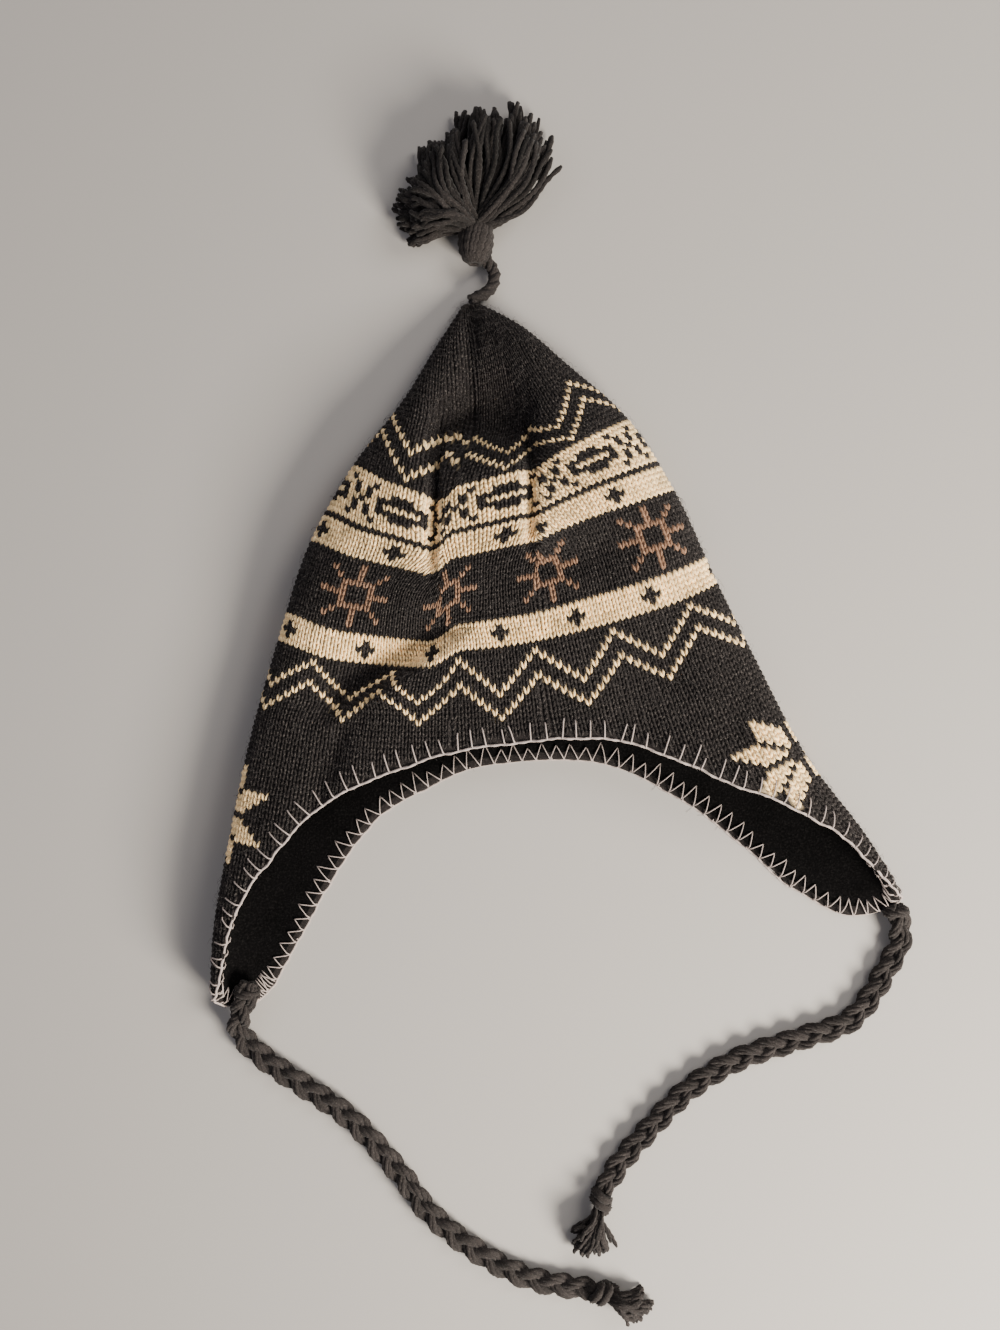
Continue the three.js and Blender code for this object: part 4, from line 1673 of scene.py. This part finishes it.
    def over_head(self, rng: np.random.Generator) -> np.ndarray:
        """Paths of strands over the head: meridians of an egg, from the cord's end to the neck.

        Args:
            rng: Source of the strands' differences.

        Returns:
            Strand, point and coordinate in millimetres.
        """
        along = np.linspace(-0.97, 0.9, self.points)
        rib = np.arange(self.ribs)[:, None] + rng.normal(0, 0.12, (self.ribs, 1))
        turn = 2 * math.pi * rib / self.ribs + 0.35 * along
        radius = (self.girth - self.yarn) * np.sqrt(np.clip(1 - np.abs(along) ** 2.4, 0.06, 1))
        origin = np.array([self.x, self.y, self.z])
        forward = self.aim(np.zeros(1))
        across = self.aim(np.full(1, 90.0))
        path = origin + forward * (along * self.head)[None, :, None]
        path = path + across * (radius * np.cos(turn))[..., None]
        path[..., 2] += radius * np.sin(turn)
        return path

    def wrapped(self) -> np.ndarray:
        """Path of the binding yarn: a helix round the knot that bulges in the middle.

        Returns:
            One path, with its points and coordinates in millimetres.
        """
        t = np.linspace(0, 1, self.wraps * 16)
        turn = 2 * math.pi * self.wraps * t
        radius = self.girth * (0.80 + 0.12 * np.sin(math.pi * t))
        place = self.head * (1.2 * t - 0.6) + 0.45 * self.girth * np.cos(turn)
        origin = np.array([self.x, self.y, self.z])
        path = origin + self.aim(np.zeros(1)) * place[:, None]
        path = path + self.aim(np.full(1, 90.0)) * (radius * np.cos(turn))[:, None]
        path[:, 2] += radius * np.sin(turn)
        return path[None]

    def build(self) -> list[bpy.types.Object]:
        """Builds the strands and the knot or head.

        Returns:
            The strands first, then the head or the knot.
        """
        rng = np.random.default_rng(self.seed)
        colour = np.array(Wool.YARN.value)
        paths = self.skirt(rng)
        tint = colour * self.shade * rng.normal(1, 0.34, (len(paths), 1)).clip(0.4, 2.0)
        girth = np.full(paths.shape[:2], self.yarn * MM)
        girth[:, -1] *= self.tip_size
        skin = tubes(lay_to_part(paths), girth, 6, TUFT_PLY, tint)
        skirt = skin.build(f"{self.name}_strands")
        dress(skirt, YARN, "yarn", self.node)
        pieces = [skirt]
        if self.ribs:
            over = self.over_head(rng)
            tint = colour * rng.normal(1, 0.2, (len(over), 1)).clip(0.6, 1.6)
            size = self.yarn * self.rib_size * MM
            head = tubes(lay_to_part(over), size, 6, TUFT_PLY, tint)
            piece = head.build(f"{self.name}_head")
            dress(piece, YARN, "yarn", self.node)
            pieces.append(piece)
        if self.wraps:
            bound = lay_to_part(self.wrapped())
            size = self.wrap_size * self.yarn * MM
            bind = tubes(bound, size, 20, KNOT_PLY, colour[None])
            piece = bind.build(f"{self.name}_knot")
            dress(piece, YARN, "yarn", self.node)
            pieces.append(piece)
        return pieces


@dataclass
class TwistedCord:
    """Strands of yarn wound together along a route.

    Attributes:
        name: The cord's name.
        route: The route in millimetres.
        strands: Number of strands.
        radius: Radius of a strand.
        bundle: Radius at which the strands lie round the route.
        pitch: Length of one turn.
        points: Points along the cord.
        line: The cord's middle in metres.
        length: Its length.
    """

    name: str
    route: np.ndarray
    strands: int = 3
    radius: float = 1.75
    bundle: float = 1.6
    pitch: float = 14.0
    points: int = 70
    line: np.ndarray = field(init=False)
    length: float = field(init=False)

    def __post_init__(self) -> None:
        """Lays out the middle line and measures it."""
        self.line = lay_to_part(smooth_route(self.route, self.points))
        self.length = float(running_length(self.line)[-1])

    def build(self, node: str) -> bpy.types.Object:
        """Builds the cord: strands that wind round the route as a helix.

        Args:
            node: The part's piece that it stands for.

        Returns:
            The cord in one piece.
        """
        run = running_length(self.line) / MM
        _, side, up = path_frames(self.line)
        turn = 2 * math.pi * (run / self.pitch + np.arange(self.strands)[:, None] / self.strands)
        offset = np.cos(turn)[..., None] * side + np.sin(turn)[..., None] * up
        paths = self.line + self.bundle * MM * offset
        tint = np.repeat(np.array([Wool.YARN.value]), self.strands, axis=0)
        skin = tubes(paths, self.radius * MM, 8, CORD_PLY, tint)
        piece = skin.build(self.name)
        dress(piece, YARN, "yarn", node)
        return piece


def wrap_route(x: float, y: float, z: float, girth: float, turns: float) -> np.ndarray:
    """Route of a wrap round a tie that runs along y: a circle that drifts along the tie.

    Args:
        x: Middle of the tie across, in millimetres.
        y: Middle of the wrap along.
        z: Height of the tie's middle.
        girth: Radius of the circle.
        turns: Turns of the wrap.

    Returns:
        Points of the route in millimetres.
    """
    points = 14
    reach = 2.2
    turn = np.linspace(0, 2 * math.pi * turns, points) + 0.6 * math.pi
    drift = np.linspace(reach, -reach, points)
    return np.column_stack([x + girth * np.cos(turn), y + drift, z + 0.85 * girth * np.sin(turn)])


@dataclass
class Studio:
    """The camera over the hat, a plain pale floor and soft lamps.

    Attributes:
        camera_height: Height of the camera in metres.
        half_view: Half the width of the view at a distance of one.
        floor: Width of the floor.
        aim: Place that the lamps face.
    """

    camera_height: float = 0.58
    half_view: float = 0.6077
    floor: float = 3.0
    aim: tuple[float, float, float] = (-0.03, -0.02, 0.0)

    def camera(self) -> None:
        """Sets the camera straight above, with the photo's framing."""
        data = bpy.data.cameras.new("camera")
        data.sensor_width = 36.0
        data.lens = data.sensor_width / 2 / self.half_view
        data.clip_start = 0.01
        camera = bpy.data.objects.new("camera", data)
        camera.location = (-MIDDLE_X * MM, -MIDDLE_Y * MM, self.camera_height)
        bpy.context.scene.collection.objects.link(camera)
        bpy.context.scene.camera = camera

    def lamp(self, name: str, place: tuple[float, float, float], size: float, power: float,
             colour: tuple[float, float, float]) -> None:
        """Adds a soft square lamp that faces the hat.

        Args:
            name: The lamp's name.
            place: Where it hangs.
            size: Width of the lamp.
            power: Power in watts.
            colour: Colour of its light.
        """
        data = bpy.data.lights.new(name, "AREA")
        data.size = size
        data.energy = power
        data.color = colour
        lamp = bpy.data.objects.new(name, data)
        lamp.location = place
        way = np.array(self.aim) - np.array(place)
        flat = math.hypot(way[0], way[1])
        heading = math.atan2(way[1], way[0]) - math.pi / 2
        lamp.rotation_euler = (math.atan2(flat, -way[2]), 0.0, heading)
        bpy.context.scene.collection.objects.link(lamp)

    def build(self) -> None:
        """Lays the floor, hangs the lamps and sets the light all round."""
        half = self.floor / 2
        edge = np.linspace(-half, half, 3)
        x, y = np.meshgrid(edge, edge)
        floor = Skin(np.stack([x, y, np.zeros_like(x)], -1)[None]).build("floor")
        paint = bpy.data.materials.new("pale_floor")
        paint.use_nodes = True
        shader = paint.node_tree.nodes["Principled BSDF"]
        shader.inputs["Base Color"].default_value = (0.40, 0.38, 0.355, 1.0)
        shader.inputs["Roughness"].default_value = 0.9
        floor.data.materials.append(paint)
        self.lamp("key_lamp", (0.72, -0.72, 0.62), 0.45, 43.0, (1.0, 0.93, 0.83))
        self.lamp("top_lamp", (0.75, 0.55, 0.95), 0.6, 10.5, (1.0, 0.95, 0.90))
        self.lamp("fill_lamp", (-0.8, 0.10, 1.1), 1.0, 3.5, (0.92, 0.90, 1.0))
        world = bpy.data.worlds.new("soft_light")
        world.use_nodes = True
        sky = world.node_tree.nodes["Background"]
        sky.inputs["Color"].default_value = (0.93, 0.93, 1.0, 1.0)
        sky.inputs["Strength"].default_value = 0.2
        bpy.context.scene.world = world


def main() -> None:
    """Loads the part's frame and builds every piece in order."""
    logging.basicConfig(level=logging.INFO, format="%(name)s %(message)s")
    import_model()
    studio = Studio()
    studio.camera()
    left = PlaitedTie(Side.LEFT, LEFT_TIE_ROUTE)
    left_plait = left.build()
    left_tuft = YarnTuft(
        "left_tuft", "left_tie_tuft", x=53.6, y=-329.2, z=6.2, heading=-20, head=6.6, girth=5.0,
        neck=5.0, locks=LEFT_LOCKS, strands=90, yarn=0.95, thick=10.5, wraps=2, flare=14.0, clump=7.0,
        shade=0.85, seed=5,
    ).build()
    right = PlaitedTie(Side.RIGHT, RIGHT_TIE_ROUTE)
    right_plait = right.build()
    right_tuft = YarnTuft(
        "right_tuft", "right_tie_tuft", x=52.9, y=-280.7, z=6.0, heading=-104, head=6.4, girth=4.8,
        neck=5.0, locks=RIGHT_LOCKS, strands=90, yarn=0.95, thick=10.5, wraps=2, flare=14.0, clump=7.0,
        shade=0.85, seed=6,
    ).build()
    cord = TwistedCord("twisted_cord", TASSEL_CORD_ROUTE)
    twisted = cord.build("tassel_cord")
    tassel = YarnTuft(
        "tassel", "tassel", x=-12.6, y=221.5, z=9.6, heading=88, head=12.0, girth=9.0, neck=11.0,
        locks=TASSEL_LOCKS, strands=300, yarn=1.3, thick=25.0, ribs=26, flare=88.0, clump=9.0, wave=2.0,
        shade=0.7, seed=4,
    ).build()
    wrap_yarn = {"strands": 4, "radius": 1.2, "bundle": 1.4, "pitch": 22.0}
    left_route = wrap_route(x=-131.0, y=-169.5, z=13.2, girth=4.6, turns=1.7)
    right_route = wrap_route(x=206.4, y=-128.2, z=9.6, girth=4.6, turns=1.7)
    left_wrap = TwistedCord("left_wrap", left_route, **wrap_yarn)
    right_wrap = TwistedCord("right_wrap", right_route, **wrap_yarn)
    left_wrap.build("left_tie")
    right_wrap.build("right_tie")
    form = HatForm()
    shell = KnitShell(form)
    knit = shell.build()
    fuzz = WoolFuzz().build(shell)
    fleece = FleeceLining(form).build()
    edging = BlanketStitch(form).build()
    studio.build()


if __name__ == "__main__":
    main()
